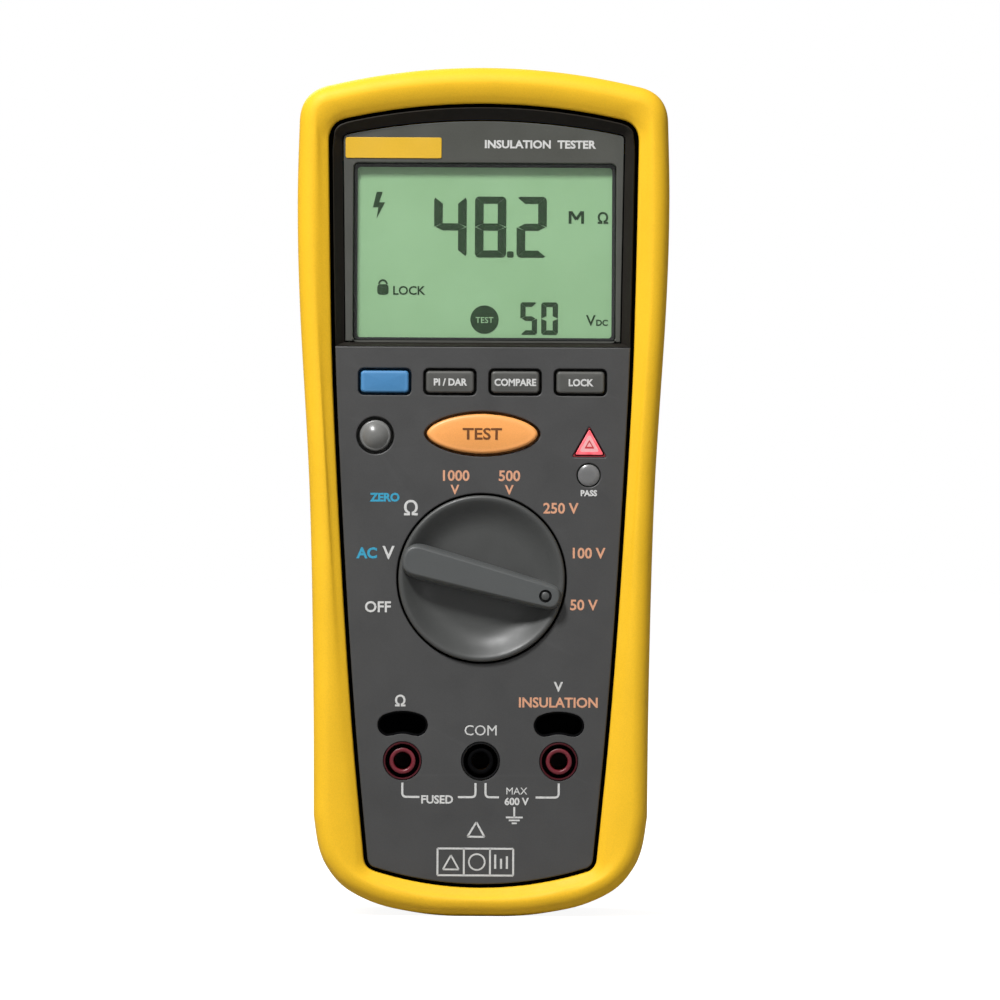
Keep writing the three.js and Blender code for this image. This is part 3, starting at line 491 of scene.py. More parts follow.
def ink(name, rgb):
    """Screen-printed ink: slightly uneven cover."""
    n = Nodes(name)
    colour = srgb(*rgb)
    cover = n.span(n.noise(0.35, 3), 0, 1, 0.25, 0.5)
    n.put("Base Color", n.mix(cover, scaled(colour, 0.78), colour))
    n.put("Roughness", n.span(n.noise(1.5), 0.49, 0.61))
    n.put("Normal", n.bump(n.noise(0.25, 2), 0.1, 0.01))
    return n.material


M = {
    "yellow": plastic("yellow_overmould", (234, 184, 36), 0.55, 0.3, 0.28, 0.03, 0.12, 0.22),
    "deck": plastic("deck_plastic", (61, 61, 61), 0.5, 0.3, 0.3, 0.05, 0.25),
    # Deck grey painted much darker: painted shade on the sunk walls round the display.
    "slope": plastic("deck_grey_painted_shade", (30, 27, 23), 0.6, 0.2, 0.3, 0.05, 0.1, 0.2),
    "bezel": plastic("bezel_plastic", (72, 73, 68), 0.42, 0.15, 0.25, 0.04, 0.25),
    "knob": plastic("knob_plastic", (66, 67, 66), 0.46, 0.15, 0.25, 0.05, 0.2, 0.5),
    # The knob's grey made paler for its grip bar: a painted highlight for the lit top of the bar.
    "grip": plastic("knob_grey_painted_highlight", (78, 80, 80), 0.45, 0.15, 0.25, 0.04, 0.25, 0.4),
    # Near-black, matt and almost without gloss: black plastic darkened into painted shade, for the gap behind
    # the rim, the probe slots and the common socket's post.
    "black_and_painted_shade": plastic("near_black_painted_shade_plastic", (4, 4, 5), 0.8, 0.2, 0.25, 0.05, 0.0, 0.05),
    "maroon": plastic("socket_dark_plastic", (66, 16, 24), 0.45, 0.1, 0.25, 0.05, 0.1, 0.3),
    "lamp_core": plastic("lens_centre", (230, 166, 168), 0.3, 0.1, 0.5, 0.05, 0.0, 0.4),
    "lamp_edge": plastic("lens_edge", (150, 52, 58), 0.3, 0.1, 0.5, 0.08, 0.0, 0.4),
    "black": plastic("black_plastic", (9, 9, 10), 0.5, 0.2, 0.25, 0.05, 0.1, 0.25),
    "badge": plastic("badge_plastic", (214, 170, 44), 0.4, 0.08, 0.3, 0.04, 0.0),
    "blue": plastic("blue_key_plastic", (62, 122, 170), 0.48, 0.2, 0.25, 0.04, 0.15),
    "key": plastic("key_plastic", (72, 72, 69), 0.5, 0.25, 0.25, 0.05, 0.25),
    "round": plastic("round_key_plastic", (108, 108, 106), 0.34, 0.12, 0.25, 0.04, 0.2),
    "orange": plastic("test_key_plastic", (234, 158, 84), 0.42, 0.12, 0.25, 0.04, 0.1),
    "red": plastic("socket_red_plastic", (104, 25, 37), 0.36, 0.1, 0.25, 0.04, 0.3),
    "rear_dark": plastic("stand_plastic", (52, 53, 55), 0.5, 0.35, 0.3, 0.05, 0.25),
    "natural": plastic("natural_nylon", (214, 208, 190), 0.45, 0.1, 0.3, 0.04, 0.1),
    "board": plastic("board_green", (28, 104, 62), 0.35, 0.3, 1.2, 0.12, 0.1, 0.5),
    "core": plastic("transformer_core", (86, 70, 54), 0.6, 0.5, 0.4, 0.1, 0.2),
    "sleeve": plastic("capacitor_sleeve", (36, 62, 118), 0.35, 0.05, 0.4, 0.04, 0.1),
    "ceramic": plastic("fuse_body", (226, 220, 204), 0.3, 0.05, 0.3, 0.03, 0.05),
    "cell": plastic("cell_sleeve", (172, 112, 44), 0.3, 0.06, 0.3, 0.05, 0.1),
    "keypad": plastic("keypad_rubber", (138, 142, 146), 0.7, 0.2, 0.3, 0.05, 0.1),
    "diffuser": plastic("backlight_panel", (232, 240, 224), 0.4, 0.05, 0.3, 0.02, 0.0),
    "lamp_grey": plastic("pass_lens", (110, 110, 110), 0.25, 0.2, 1.1, 0.12, 0.1, 0.6),
    "diode_red": plastic("red_diode", (214, 66, 66), 0.25, 0.03, 0.3, 0.03, 0.0),
    "diode_green": plastic("green_diode", (96, 176, 104), 0.25, 0.03, 0.3, 0.03, 0.0),
    "steel": metal("plated_steel", (196, 198, 202), 0.3),
    "brass": metal("socket_brass", (150, 112, 52), 0.34),
    "white_ink": ink("white_ink", (196, 196, 194)),
    "tan_ink": ink("tan_ink", (206, 150, 118)),
    "cyan_ink": ink("cyan_ink", (46, 146, 178)),
    "brown_ink": ink("brown_ink", (104, 58, 14)),
    "lamp_mark": ink("lamp_mark", (190, 48, 56)),
}


def display_material():
    """Reflective liquid crystal glass: green with a soft mottle."""
    n = Nodes("display_green")
    mottle = n.span(n.noise(14, 3), 0, 1)
    tone = n.mix(mottle, srgb(130, 168, 125), srgb(135, 173, 131))
    n.put("Base Color", tone)
    n.put("Roughness", n.span(n.noise(3), 0.38, 0.5))
    n.put("Normal", n.bump(n.noise(0.2, 2), 0.05, 0.01))
    n.put("Specular IOR Level", 0.2)
    return n.material


def segment_material():
    n = Nodes("display_segments")
    n.put("Base Color", n.mix(n.span(n.noise(1.2), 0, 1), srgb(8, 40, 6), srgb(16, 52, 14)))
    n.put("Roughness", n.span(n.noise(2), 0.4, 0.5))
    n.put("Specular IOR Level", 0.1)
    return n.material


def window_material():
    """Clear hard-coated window: mostly see-through, with a gloss and a few faint smears."""
    n = Nodes("display_window_clear")
    n.put("Base Color", n.mix(n.span(n.noise(8), 0, 1), srgb(228, 236, 230), srgb(238, 242, 238)))
    n.put("Roughness", n.span(n.noise(11, 4), 0.05, 0.12))
    n.put("Alpha", 0.02)
    n.put("Specular IOR Level", 0.12)
    return n.material


def lamp_material():
    """Lit warning lens, glowing red, its tone varying at random."""
    n = Nodes("warning_lens")
    glow = n.span(n.noise(2.4, 2), 0, 1)
    tone = n.mix(glow, srgb(214, 74, 86), srgb(238, 112, 120))
    n.put("Base Color", tone)
    n.put("Emission Color", tone)
    n.put("Roughness", n.span(n.noise(2), 0.2, 0.3))
    n.put("Emission Strength", 0.5)
    return n.material


M["display"] = display_material()
M["segments"] = segment_material()
M["window"] = window_material()
M["lamp"] = lamp_material()


# ------------------------------------------------------------------ case

def front_rim():
    """Soft yellow ring: a lip at the opening, a shallow fall towards it, a rounded shoulder outside."""
    solid = Solid()
    bend, bed = 3.9, DECK_FRONT + 2.5
    lip = [(0.1, 2.02), (0.35, 1.78), (0.8, 1.52), (1.3, 1.22), (1.9, 0.88)]
    rings = [(inset(OPENING, -RIM_RELIEF), bed), (inset(OPENING, -RIM_RELIEF), RIM_FRONT + 2.35)]
    rings += [(inset(OPENING, -RIM_RELIEF - d), RIM_FRONT + y) for d, y in lip]
    top, shoulder = rings[-1][0], inset(CASE, bend)
    rings += [(between(top, shoulder, share), RIM_FRONT + fall) for share, fall in ((0.33, 0.5), (0.66, 0.2))]
    for k in range(11):
        angle = pi / 2 * k / 10
        rings.append((inset(CASE, bend - bend * sin(angle)), RIM_FRONT + bend * (1 - cos(angle))))
    side = ((0, RIM_FRONT + 9), (0, RIM_BACK - 0.5), (0.12, RIM_BACK - 0.15), (0.45, RIM_BACK), (3, RIM_BACK),
            (3, bed))
    rings += [(inset(CASE, d), y) for d, y in side]
    solid.join([solid.ring(points, y) for points, y in rings], True)
    piece("rim", solid, "yellow", "front_rim", "yellow_overmould", 50)


def rim_flange():
    """Ledge behind the gap between the rim and the deck, near-black as painted shade in the gap."""
    solid = Solid()
    outer, inner, front = inset(CASE, 3.3), inset(OPENING, DECK_GAP - 0.05), DECK_FRONT + 2.8
    corners = [(outer, front), (outer, DECK_BACK), (inner, DECK_BACK), (inner, front)]
    solid.join([solid.ring(points, y) for points, y in corners], True)
    piece("rim_flange", solid, "black_and_painted_shade", None, "black_plastic")


def seam_gasket():
    """Dark band in the seam, which closes the gap to the rim in front and to the shell behind."""
    solid = Solid()
    low, high = span("seam_gasket")[0][1], span("seam_gasket")[1][1]
    front, back = RIM_BACK + 0.02, SHELL_FRONT - 0.02
    rings = [(2.6, front), (0.95, front), (0.72, low + 0.2), (0.68, (low + high) / 2), (0.72, high - 0.2),
             (0.95, back), (2.6, back)]
    first, last = solid.wall(CASE, rings)
    solid.bridge(last, first)
    piece("gasket", solid, "black", "seam_gasket", "black_plastic")


STAND_LOW, STAND_HIGH = span("tilt_stand")
DOOR_LOW, DOOR_HIGH = span("battery_door")
DOOR_MIDDLE = middle("battery_door")[2]
TRAY_LOW, TRAY_HIGH = span("battery_tray")
SCREWS = [(middle(f"case_screw_{n}")[0], middle(f"case_screw_{n}")[2]) for n in (1, 2, 3, 4)]
LOCKS = [middle("door_lock_low")[2], middle("door_lock_high")[2]]


def pocket_outline(half, low, high, tab_half, tab_low):
    """The stand's recess: a rectangle with a finger notch let into its lower edge."""
    tab = [(-tab_half - 0.7, low), (-tab_half - 0.2, low - 0.2), (-tab_half, low - 0.7),
           (-tab_half, tab_low + 1.5), (-tab_half + 0.44, tab_low + 0.44), (-tab_half + 1.5, tab_low)]
    frame_edge = rectangle(0, (low + high) / 2, 2 * half, high - low, 0.9)
    return frame_edge + tab + [(-x, z) for x, z in reversed(tab)]


def rear_shell():
    """Rounded tub with the sunk frame for the stand, the stepped battery opening and screw wells."""
    solid = Solid()
    bend, wall, floor = 4.6, 2.8, 18
    levels = [(wall, SHELL_FRONT), (0.45, SHELL_FRONT), (0.12, SHELL_FRONT + 0.15), (0, SHELL_FRONT + 0.5),
              (0, floor / 2)]
    for k in range(13):
        angle = pi / 2 * k / 12
        levels.append((bend * (1 - cos(angle)), BACK - bend + bend * sin(angle)))
    levels += [(bend + 0.12, BACK), (bend + 0.24, BACK)]
    inner, back_edge = solid.wall(CASE, levels)
    inside = solid.ring(inset(CASE, wall), floor)
    solid.bridge(inner, inside)

    def sink(outline, depth, edge=0.35, side=-1, steps=4):
        return solid.wall(outline, rounding(edge, BACK, side, steps, -1) + [(0, depth)])

    def door_outline(margin, radius):
        width, height = 2 * DOOR_HIGH[0], DOOR_HIGH[2] - DOOR_LOW[2]
        return rectangle(0, DOOR_MIDDLE, width + margin, height + margin, radius)

    pocket_floor, ledge = STAND_LOW[1] - 0.3, DOOR_LOW[1] - 0.3
    low, high = STAND_LOW[2] - 0.4, STAND_HIGH[2] + 0.4
    pocket = pocket_outline(STAND_HIGH[0] + 0.3, low, high, 10, STAND_LOW[2] - 4.5)
    pocket_top, pocket_bottom = sink(pocket, pocket_floor)
    island_top, island_foot = sink(door_outline(2.6, 1.5), pocket_floor, 0.2, 1, 2)
    solid.fill([pocket_bottom, island_foot])
    rebate_top, rebate_foot = sink(door_outline(0.6, 1), ledge, 0.2, -1, 2)
    solid.fill([island_top, rebate_top])
    mouth = rectangle(0, DOOR_MIDDLE, 2 * DOOR_HIGH[0] + 0.5, TRAY_HIGH[2] - TRAY_LOW[2] + 0.6, 0.4, 2)
    holes = [mouth] + [circle(0, z, 1.3, 16) for z in LOCKS]
    tops, feet = zip(*[solid.wall(hole, [(0, ledge), (0, floor)]) for hole in holes])
    solid.fill([rebate_foot, *tops])
    solid.fill([inside, *feet])
    wells = [sink(circle(x, z, 3, 32), BACK - 3.5, 0.3) for x, z in SCREWS]
    for top, foot in wells:
        solid.cap(foot)
    solid.fill([back_edge, pocket_top] + [top for top, foot in wells])
    piece("rear_case", solid, "yellow", "rear_shell", "yellow_overmould", 50)


def deck():
    """Lower deck plate with its openings, up to the sunk display."""
    half = [p for p in inset(OPENING, DECK_GAP) if p[1] < DISPLAY_FLOOR and p[0] >= 0]
    edge_x = half[-1][0] + 0.06
    half += [(edge_x * (1 - k / 12), DISPLAY_FLOOR) for k in range(13)]
    wells = [rectangle(x, KEY_Z, KEY_WIDTH + 1.2, KEY_HEIGHT + 1.2, 1.3) for x in KEY_X]
    wells += [circle(ROUND_X, ROUND_Z, ROUND_RADIUS + 0.75), oval(TEST_HALF + 0.65, TEST_RISE + 0.65),
              triangle(WARN_X, WARN_Z, 8.3, 7.4), circle(PASS_X, PASS_Z, 2.85, 32),
              circle(0, KNOB_Z, KNOB_RADIUS + 0.05, 128)]
    knob_well = len(wells)
    openings = [(mirrored(half), 1, 0.3, 4)] + [(well, -1, 0.3, 4) for well in wells]
    openings += [(circle(x, JACK_Z, 4.62, 64), -1, 0.15, 1) for x in (-JACK_X, 0, JACK_X)]
    openings += [(kidney(x, SLOT_HALF + 0.14), -1, 0.12, 1) for x in (-JACK_X, JACK_X)]
    solid = Solid()
    fronts, backs = zip(*[solid.wall(outline, rounding(radius, DECK_FRONT, side, steps) + [(0, DECK_BACK)])
                          for outline, side, radius, steps in openings])
    solid.fill(fronts)
    solid.fill(backs[:knob_well] + backs[knob_well + 1:])
    solid.bridge(backs[knob_well], solid.ring(circle(0, KNOB_Z, 3.6, 128), DECK_BACK))
    piece("deck", solid, "deck", "front_deck", "deck_grey", 35)


def path_lengths(points):
    """Distance along a path to each of its points."""
    lengths = [0]
    for a, b in zip(points, points[1:]):
        lengths.append(lengths[-1] + dist(a, b))
    return lengths


def slope_outline():
    """The deck's edge round the display, with one point for each point of the display surround."""
    top = [p for p in inset(OPENING, DECK_GAP) if p[1] > DISPLAY_FLOOR + 0.8 and p[0] >= -1e-6]
    outer = [((top[0][0] - 0.06) * k / 10, DISPLAY_FLOOR + 0.05) for k in range(11)]
    path = [outer[-1]] + top
    lengths = path_lengths(path)
    inner = path_lengths([p for p in BEZEL if p[0] >= 0][10:])
    for reach in inner[1:]:
        want = lengths[-1] * reach / inner[-1]
        i = max(j for j in range(len(lengths) - 1) if lengths[j] <= want + 1e-9)
        share = (want - lengths[i]) / max(lengths[i + 1] - lengths[i], 1e-9)
        outer += between([path[i]], [path[i + 1]], min(share, 1))
    return mirrored(outer[:-1] + [(0, outer[-1][1])])


def display_wall():
    """Frame that slopes from the rim down to the display surround on all four sides, in the deck's grey
    painted dark as painted shade on the sunk walls.
    """
    solid = Solid()
    wide, lip = slope_outline(), 0.22
    edge = [(x - copysign(min(abs(x), lip), x) if z > DISPLAY_FLOOR + 1 else x, z - (lip if z > 185 else 0))
            for x, z in wide]
    rings = [(wide, DECK_BACK), (wide, DECK_FRONT + 0.25), (edge, DECK_FRONT + 0.02)]
    for share in (0.08, 0.5, 0.92, 1.0):
        fall = (BEZEL_FRONT - DECK_FRONT) * min(1, share / 0.95)
        rings.append((between(edge, BEZEL, share), DECK_FRONT + 0.05 + fall))
    rings.append((BEZEL, DECK_BACK))
    solid.join([solid.ring(points, y) for points, y in rings], True)
    # The slope plastic is the deck grey painted dark, as painted shade.
    piece("display_slope", solid, "slope", None, "deck_grey", 30)


def display():
    """Surround, blank badge, clear window with its dark mask, and the glass."""
    x, z, width, height = WINDOW

    def pane(margin, radius):
        return rectangle(x, z, width + margin, height + margin, radius)

    solid = plate(inset(BEZEL, 0.3), [pane(0, 1.2)], BEZEL_FRONT, DECK_BACK, 0.22, 0.3)
    piece("bezel", solid, "bezel", "display_bezel", "bezel_grey")
    low, high = span("display_badge")
    badge_x, _, badge_z = middle("display_badge")
    badge = rectangle(badge_x, badge_z, high[0] - low[0], high[2] - low[2], 0.45)
    piece("badge", plate(badge, [], low[1] - 0.12, BEZEL_FRONT + 0.3, 0.12), "badge", "display_badge",
          "badge_yellow")
    low, high = span("display_window")
    piece("window", plate(pane(-0.5, 1), [], low[1], high[1], 0.15), "window", "display_window", "window")
    mask = plate(pane(1.6, 1), [pane(-1.9, 0.8)], GLASS_FRONT - 0.16, GLASS_FRONT - 0.04, 0.03)
    piece("window_mask", mask, "black", None, "black_plastic")
    low, high = span("display_glass")
    glass = rectangle(x, z, high[0] - low[0], high[2] - low[2], 0.3)
    piece("display", plate(glass, [], low[1], high[1], 0.1), "display", "display_glass", "lcd")


# ------------------------------------------------------------------ keys and lamps


def button(name, outline, front, edge, drop, flange, material, body, node, slot):
    """Key cap with a rounded edge and a slightly domed face, on its hidden flange."""
    solid = Solid()
    x, _, z = middle(node)
    flange_front, flange_back = DECK_BACK + 0.3, DECK_BACK + 1
    levels = [(edge, front + drop)] + rounding(edge, front + drop, 1, 5)[2:]
    levels += [(0, flange_front), (-flange, flange_front), (-flange, flange_back)]
    first, last = solid.wall(outline, levels)
    solid.cap(last)
    rim = inset(outline, edge)
    dome = [first]
    for factor in (0.93, 0.8, 0.62, 0.42, 0.2):
        points = [(x + factor * (px - x), z + factor * (pz - z)) for px, pz in rim]
        dome.append(solid.ring(points, front + drop * factor ** 2))
    solid.join(dome)
    solid.fan(solid.ring([(x, z)], front), dome[-1])
    piece(name, solid, material, node, slot, 50, body=body)


def keys():
    looks = [("blue", "shift_blue")] + [("key", "key_grey")] * 3
    for node, x, (material, slot) in zip(KEYS, KEY_X, looks):
        shape = rectangle(x, KEY_Z, KEY_WIDTH, KEY_HEIGHT, 0.9)
        body = node.removeprefix("key_") + "_key"
        button(f"{node}_cap", shape, span("key_shift")[0][1], 0.55, 0.12, 1, material, body, node, slot)
    button("key_test_cap", oval(TEST_HALF, TEST_RISE), span("key_test")[0][1], 0.8, 0.35, 1.5, "orange",
           "test_key", "key_test", "test_orange")
    button("key_backlight_cap", circle(ROUND_X, ROUND_Z, ROUND_RADIUS, 64), span("key_backlight")[0][1], 0.6,
           1.5, 1, "round", "backlight_key", "key_backlight", "round_key_grey")


def lamps():
    """Warning lens with its surround, pale centre and printed mark, and the round pass lens."""
    front, back = span("warning_lamp_lens")[0][1], span("warning_lamp_lens")[1][1]
    lens = plate(triangle(WARN_X, WARN_Z, 6.9, 6.2), [], front, back, 0.25)
    piece("warning_lens", lens, "lamp", "warning_lamp_lens", "lamp_red")
    surround = plate(triangle(WARN_X, WARN_Z, 8.1, 7.2), [triangle(WARN_X, WARN_Z, 7.1, 6.35)],
                     DECK_FRONT + 0.12, DECK_BACK, 0.12, 0.05)
    piece("warning_surround", surround, "lamp_edge", None, "lamp_red")
    core = Solid()
    core.flat(triangle(WARN_X, WARN_Z - 0.25, 4.9, 4.3, 0.5), front - 0.02, front + 0.05)
    piece("warning_centre", core, "lamp_core", weighted=False)
    mark = Solid()
    mark_z = WARN_Z - 0.55
    shapes = triangle(WARN_X, mark_z, 2.4, 2.1, 0.15), triangle(WARN_X, mark_z - 0.05, 1.3, 1.1, 0.08)
    for rings in zip(*[mark.wall(shape, [(0, front - 0.04), (0, front + 0.05)]) for shape in shapes]):
        mark.fill(rings)
    piece("warning_mark", mark, "lamp_mark")
    radius, dome = 2.6, Solid()
    dome.lathe([(0, front - 0.02), (radius * 0.5, front + 0.03), (radius * 0.85, front + 0.12),
                (radius, front + 0.4), (radius, back), (0, back)], PASS_X, PASS_Z, 48, False)
    piece("pass_lens", dome, "lamp_grey", "pass_lamp_lens", "lamp_grey")


# ------------------------------------------------------------------ dial

POINTER_X, _, POINTER_Z = middle("knob_index")
POINTER_REACH = hypot(POINTER_X, POINTER_Z - KNOB_Z)
KNOB_ANGLE = atan2(POINTER_Z - KNOB_Z, POINTER_X)


def turned_to_rest(solid):
    """Turns a solid drawn with its pointer along +X about the dial's axis, to its place at rest."""
    turn = Matrix.Rotation(-KNOB_ANGLE, 4, "Y")
    move = Matrix.Translation((0, 0, KNOB_Z))
    bmesh.ops.transform(solid.bm, matrix=move @ turn, verts=solid.bm.verts)


def knob_disc():
    """Dished disc: thin raised edge, then one smooth bowl down to the middle."""
    solid = Solid()
    radius, crest = KNOB_RADIUS - 0.4, DECK_FRONT - 1.2
    profile = [(0, KNOB_BACK), (radius - 0.3, KNOB_BACK), (radius, KNOB_BACK - 0.3), (radius, crest + 0.7)]
    for k in range(1, 7):
        angle = radians(15 * k)
        profile.append((radius - 0.7 + 0.7 * cos(angle), crest + 0.7 - 0.7 * sin(angle)))
    profile += [(radius - 0.95, crest + 0.03), (radius - 1.25, crest + 0.16)]
    slope, steady, bottom = 0.75, 1.6, 7
    steps = 30
    for k in range(1, steps + 1):
        run = (radius - 1.4) * (k / steps) ** 1.3
        bend = min(max(run - steady, 0), bottom - steady)
        fall = slope * (min(run, steady) + bend - bend * bend / 2 / (bottom - steady))
        profile.append((max(radius - 1.4 - run, 0), crest + 0.24 + fall))
    solid.lathe(profile, 0, 0, 144, False)
    turned_to_rest(solid)
    piece("knob_disc", solid, "knob", "knob", "knob_grey", 60, body="dial")


def grip_outline(tail, tip, reach, steps=8):
    """Plan of the grip bar: round tail at -X, waisted sides, squarer pointer end at +X."""
    shoulder, sides = reach - 1.1 * tip, 10
    upper = quad((reach, 0), (reach, tip), (shoulder, tip), steps)
    for k in range(1, sides + 1):
        t = k / sides
        upper.append((shoulder + t * (tail - reach - shoulder), tip + (tail - tip) * t ** 0.8))
    upper += quad((-reach + tail, tail), (-reach, tail), (-reach, 0), steps)
    lower = [(x, -z) for x, z in reversed(upper[:-1])]
    return [(reach, 0)] + upper + lower


def knob_grip():
    """Tapered bar across the dish, with sloping sides and a hole for its pointer near the narrow end."""
    solid = Solid()
    reach, front = KNOB_RADIUS - 0.75, KNOB_FRONT
    stations = ((4.3, 3.2, 0.1, KNOB_BACK - 1.2), (4.2, 3.1, 0, front + 2.6), (3.95, 2.9, -0.05, front + 1.4),
                (3.7, 2.72, -0.15, front + 0.7), (3.5, 2.58, -0.25, front + 0.4),
                (3.3, 2.4, -0.45, front + 0.14), (3.05, 2.2, -0.7, front + 0.02), (2.9, 2.1, -0.85, front))
    levels = [solid.ring(grip_outline(tail, tip, reach + more), y) for tail, tip, more, y in stations]
    solid.join(levels)
    solid.cap(levels[0])
    hole = circle(POINTER_REACH, 0, 1.62, 40)
    hole_front, hole_back = solid.wall(hole, [(0.08, front), (0, front + 0.08), (0, front + 0.95)])
    solid.fill([levels[-1], hole_front])
    solid.cap(hole_back)
    turned_to_rest(solid)
    # The grip bar takes a paler copy of the knob's grey, as a painted highlight.
    piece("knob_grip", solid, "grip", None, "knob_grey", 45, body="dial")


def knob_pointer():
    """Dark disc in the grip's hole, with a small grey centre."""
    disc = [(0, 0.6), (1.5, 0.6), (1.55, 0.9), (0, 0.9)]
    stud = [(0, 0.12), (0.8, 0.14), (0.95, 0.25), (0.95, 0.62), (0, 0.62)]
    for name, profile, look in (("knob_pointer", disc, ("black", "knob_index", "index_dark")),
                                ("knob_pointer_centre", stud, ("knob",))):
        solid = Solid()
        solid.lathe([(radius, KNOB_FRONT + y) for radius, y in profile], POINTER_REACH, 0, 40, False)
        turned_to_rest(solid)
        piece(name, solid, *look, body="dial")


# ------------------------------------------------------------------ sockets

def jack(name, x, material, shroud, slot):
    """Shrouded socket: dark sleeve, a hollow post in its middle, and the metal contact tube in the post."""
    low, high = span(f"jack_insulator_{name}")
    front, back = low[1], high[1]
    floor, post_front = back - 2.6, DECK_FRONT + 0.5
    low, high = span(f"jack_contact_{name}")
    sleeve = [(0, floor), (4.05, floor), (4.05, front + 0.35), (4.1, front + 0.12), (4.2, front),
              (4.4, front), (4.52, front + 0.15), (4.52, DECK_BACK + 0.1), (5, DECK_BACK + 0.2),
              (5, back - 0.2), (4.8, back), (0, back)]
    post = [(2.1, post_front + 0.45), (2.2, post_front + 0.12), (2.4, post_front), (2.8, post_front),
            (3.05, post_front + 0.12), (3.15, post_front + 0.45), (3.15, floor + 0.1), (2.6, floor + 0.1),
            (2.6, post_front + 2.1), (2.1, post_front + 1.9)]
    tube = [(2.05, low[1] + 0.25), (2.25, low[1]), (2.5, low[1] + 0.1), (2.5, high[1]), (2.05, high[1])]
    for part, profile, sides, closed, look in (
            ("sleeve", sleeve, 64, False, (shroud, f"jack_insulator_{name}", "black_plastic", 45)),
            ("post", post, 64, True, (material, None, slot, 45)),
            ("tube", tube, 48, True, ("brass", f"jack_contact_{name}", "brass", 45))):
        solid = Solid()
        solid.lathe(profile, x, JACK_Z, sides, closed)
        piece(f"jack_{part}_{name}", solid, *look)


def probe_slots():
    """Cup behind each curved slot, wider inside the case than at the deck, near-black as painted shade in the
    slot.
    """
    for name, x in (("left", -JACK_X), ("right", JACK_X)):
        front, back = span(f"probe_slot_{name}")[0][1], span(f"probe_slot_{name}")[1][1]
        solid = Solid()
        inner = [(-0.25, front), (-0.1, front + 0.1), (0, front + 0.4), (0, back - 0.8)]
        outer = [(0.52, front), (0.48, front + 0.06), (0.48, DECK_BACK + 0.1), (0, DECK_BACK + 0.2),
                 (0, back)]
        inner_lip, floor = solid.wall(kidney(x, SLOT_HALF - 0.35), inner)
        outer_lip, base = solid.wall(kidney(x, SLOT_HALF + 0.6), outer)
        solid.bridge(inner_lip, outer_lip)
        solid.cap(floor)
        solid.cap(base)
        piece(f"probe_cup_{name}", solid, "black_and_painted_shade", f"probe_slot_{name}", "black_plastic", 45)


# ------------------------------------------------------------------ back of the case

def tilt_stand():
    """Flat frame with rounded edges and ribs, hung from a barrel along its top."""
    front, back = span("tilt_stand")[0][1], BACK - 0.3
    half, low = STAND_HIGH[0], STAND_LOW[2]
    _, barrel_y, hinge = middle("stand_pin")
    window_low, window_high = low + 10.6, DOOR_HIGH[2] + 1.6
    window_z, window_height = (window_low + window_high) / 2, window_high - window_low
    outer = rectangle(0, (low + hinge - 1.2) / 2, 2 * half, hinge - 1.2 - low, 1.4)
    inner = rectangle(0, window_z, 2 * (half - 5.2), window_height, 1.4)
    solid = plate(outer, [inner], front, back, 0.3, 0.3, 0.35)
    ribs = [rectangle(x, window_z, 1, window_height - 6, 0.45) for x in (-half + 2.6, half - 2.6)]
    ribs += [rectangle(0, low + 5.3 + 2.2 * n, 34, 0.9, 0.4) for n in (-1, 0, 1)]
    for rib in ribs:
        for end in solid.wall(rib, rounding(0.2, back + 0.18, 1, 3, -1) + [(0, back - 0.3)]):
            solid.fill([end])
    barrel = [(-half, 1.5), (-half + 0.3, 1.8), (half - 0.3, 1.8), (half, 1.5), (half, 1.0), (-half, 1.0)]
    solid.join([[solid.bm.verts.new((x, y, z)) for y, z in circle(barrel_y, hinge, radius, 32)]
                for x, radius in barrel], True)
    piece("stand_frame", solid, "rear_dark", "tilt_stand", "dark_grey_plastic", body="stand")


def battery_door():
    """Panel with rounded edges, five shallow grooves and a stepped hole for each lock."""
    face = rectangle(0, DOOR_MIDDLE, 2 * DOOR_HIGH[0], DOOR_HIGH[2] - DOOR_LOW[2], 0.8)
    front, back = DOOR_LOW[1], DOOR_HIGH[1]
    lock_ledge = back - 1.4
    solid = Solid()
    edge_levels = [(0.15, front), (0, front + 0.15)] + rounding(0.3, back, 1, into=-1)[::-1]
    edge_front, edge_back = solid.wall(face, edge_levels)
    tops, feet = [edge_back], [edge_front]
    for z in LOCKS:
        top, ledge = solid.wall(circle(0, z, 2.75), rounding(0.2, back, -1, 3, -1) + [(0, lock_ledge)])
        ledge_edge, foot = solid.wall(circle(0, z, 1.2), [(0, lock_ledge), (0, front)])
        solid.bridge(ledge, ledge_edge)
        tops.append(top)
        feet.append(foot)
    for n in range(-2, 3):
        groove = rectangle(0, DOOR_MIDDLE + 5 * n, 30, 1.6, 0.75)
        top, floor = solid.wall(groove, rounding(0.15, back, -1, 3, -1) + [(0.25, back - 0.6)])
        solid.fill([floor])
        tops.append(top)
    solid.fill(tops)
    solid.fill(feet)
    piece("door_panel", solid, "rear_dark", "battery_door", "dark_grey_plastic", body="door")


def slotted_head(solid, node, radius, thick, shank, slot_width):
    """Screw head with its slot cut across, and a plain shank below."""
    x, _, z = middle(node)
    end, top = span(node)[0][1], span(node)[1][1]
    sides, chamfer, deep = 48, 0.12, top - 0.6
    start = degrees(asin(slot_width / 2 / radius))
    for sign in (1, -1):
        edge = arc(x, z, radius, sign * start, sign * (180 - start), sides // 2)
        rings = [solid.ring(inset(edge, sign * chamfer), top), solid.ring(edge, top - chamfer),
                 solid.ring(edge, deep)]
        solid.join(rings)
        solid.cap(rings[0])
        solid.cap(rings[-1])
    rings = [solid.ring(circle(x, z, r, sides), y)
             for r, y in ((radius, deep), (radius, top - thick), (shank, top - thick), (shank, end))]
    solid.join(rings)
    solid.cap(rings[0])
    solid.cap(rings[-1])


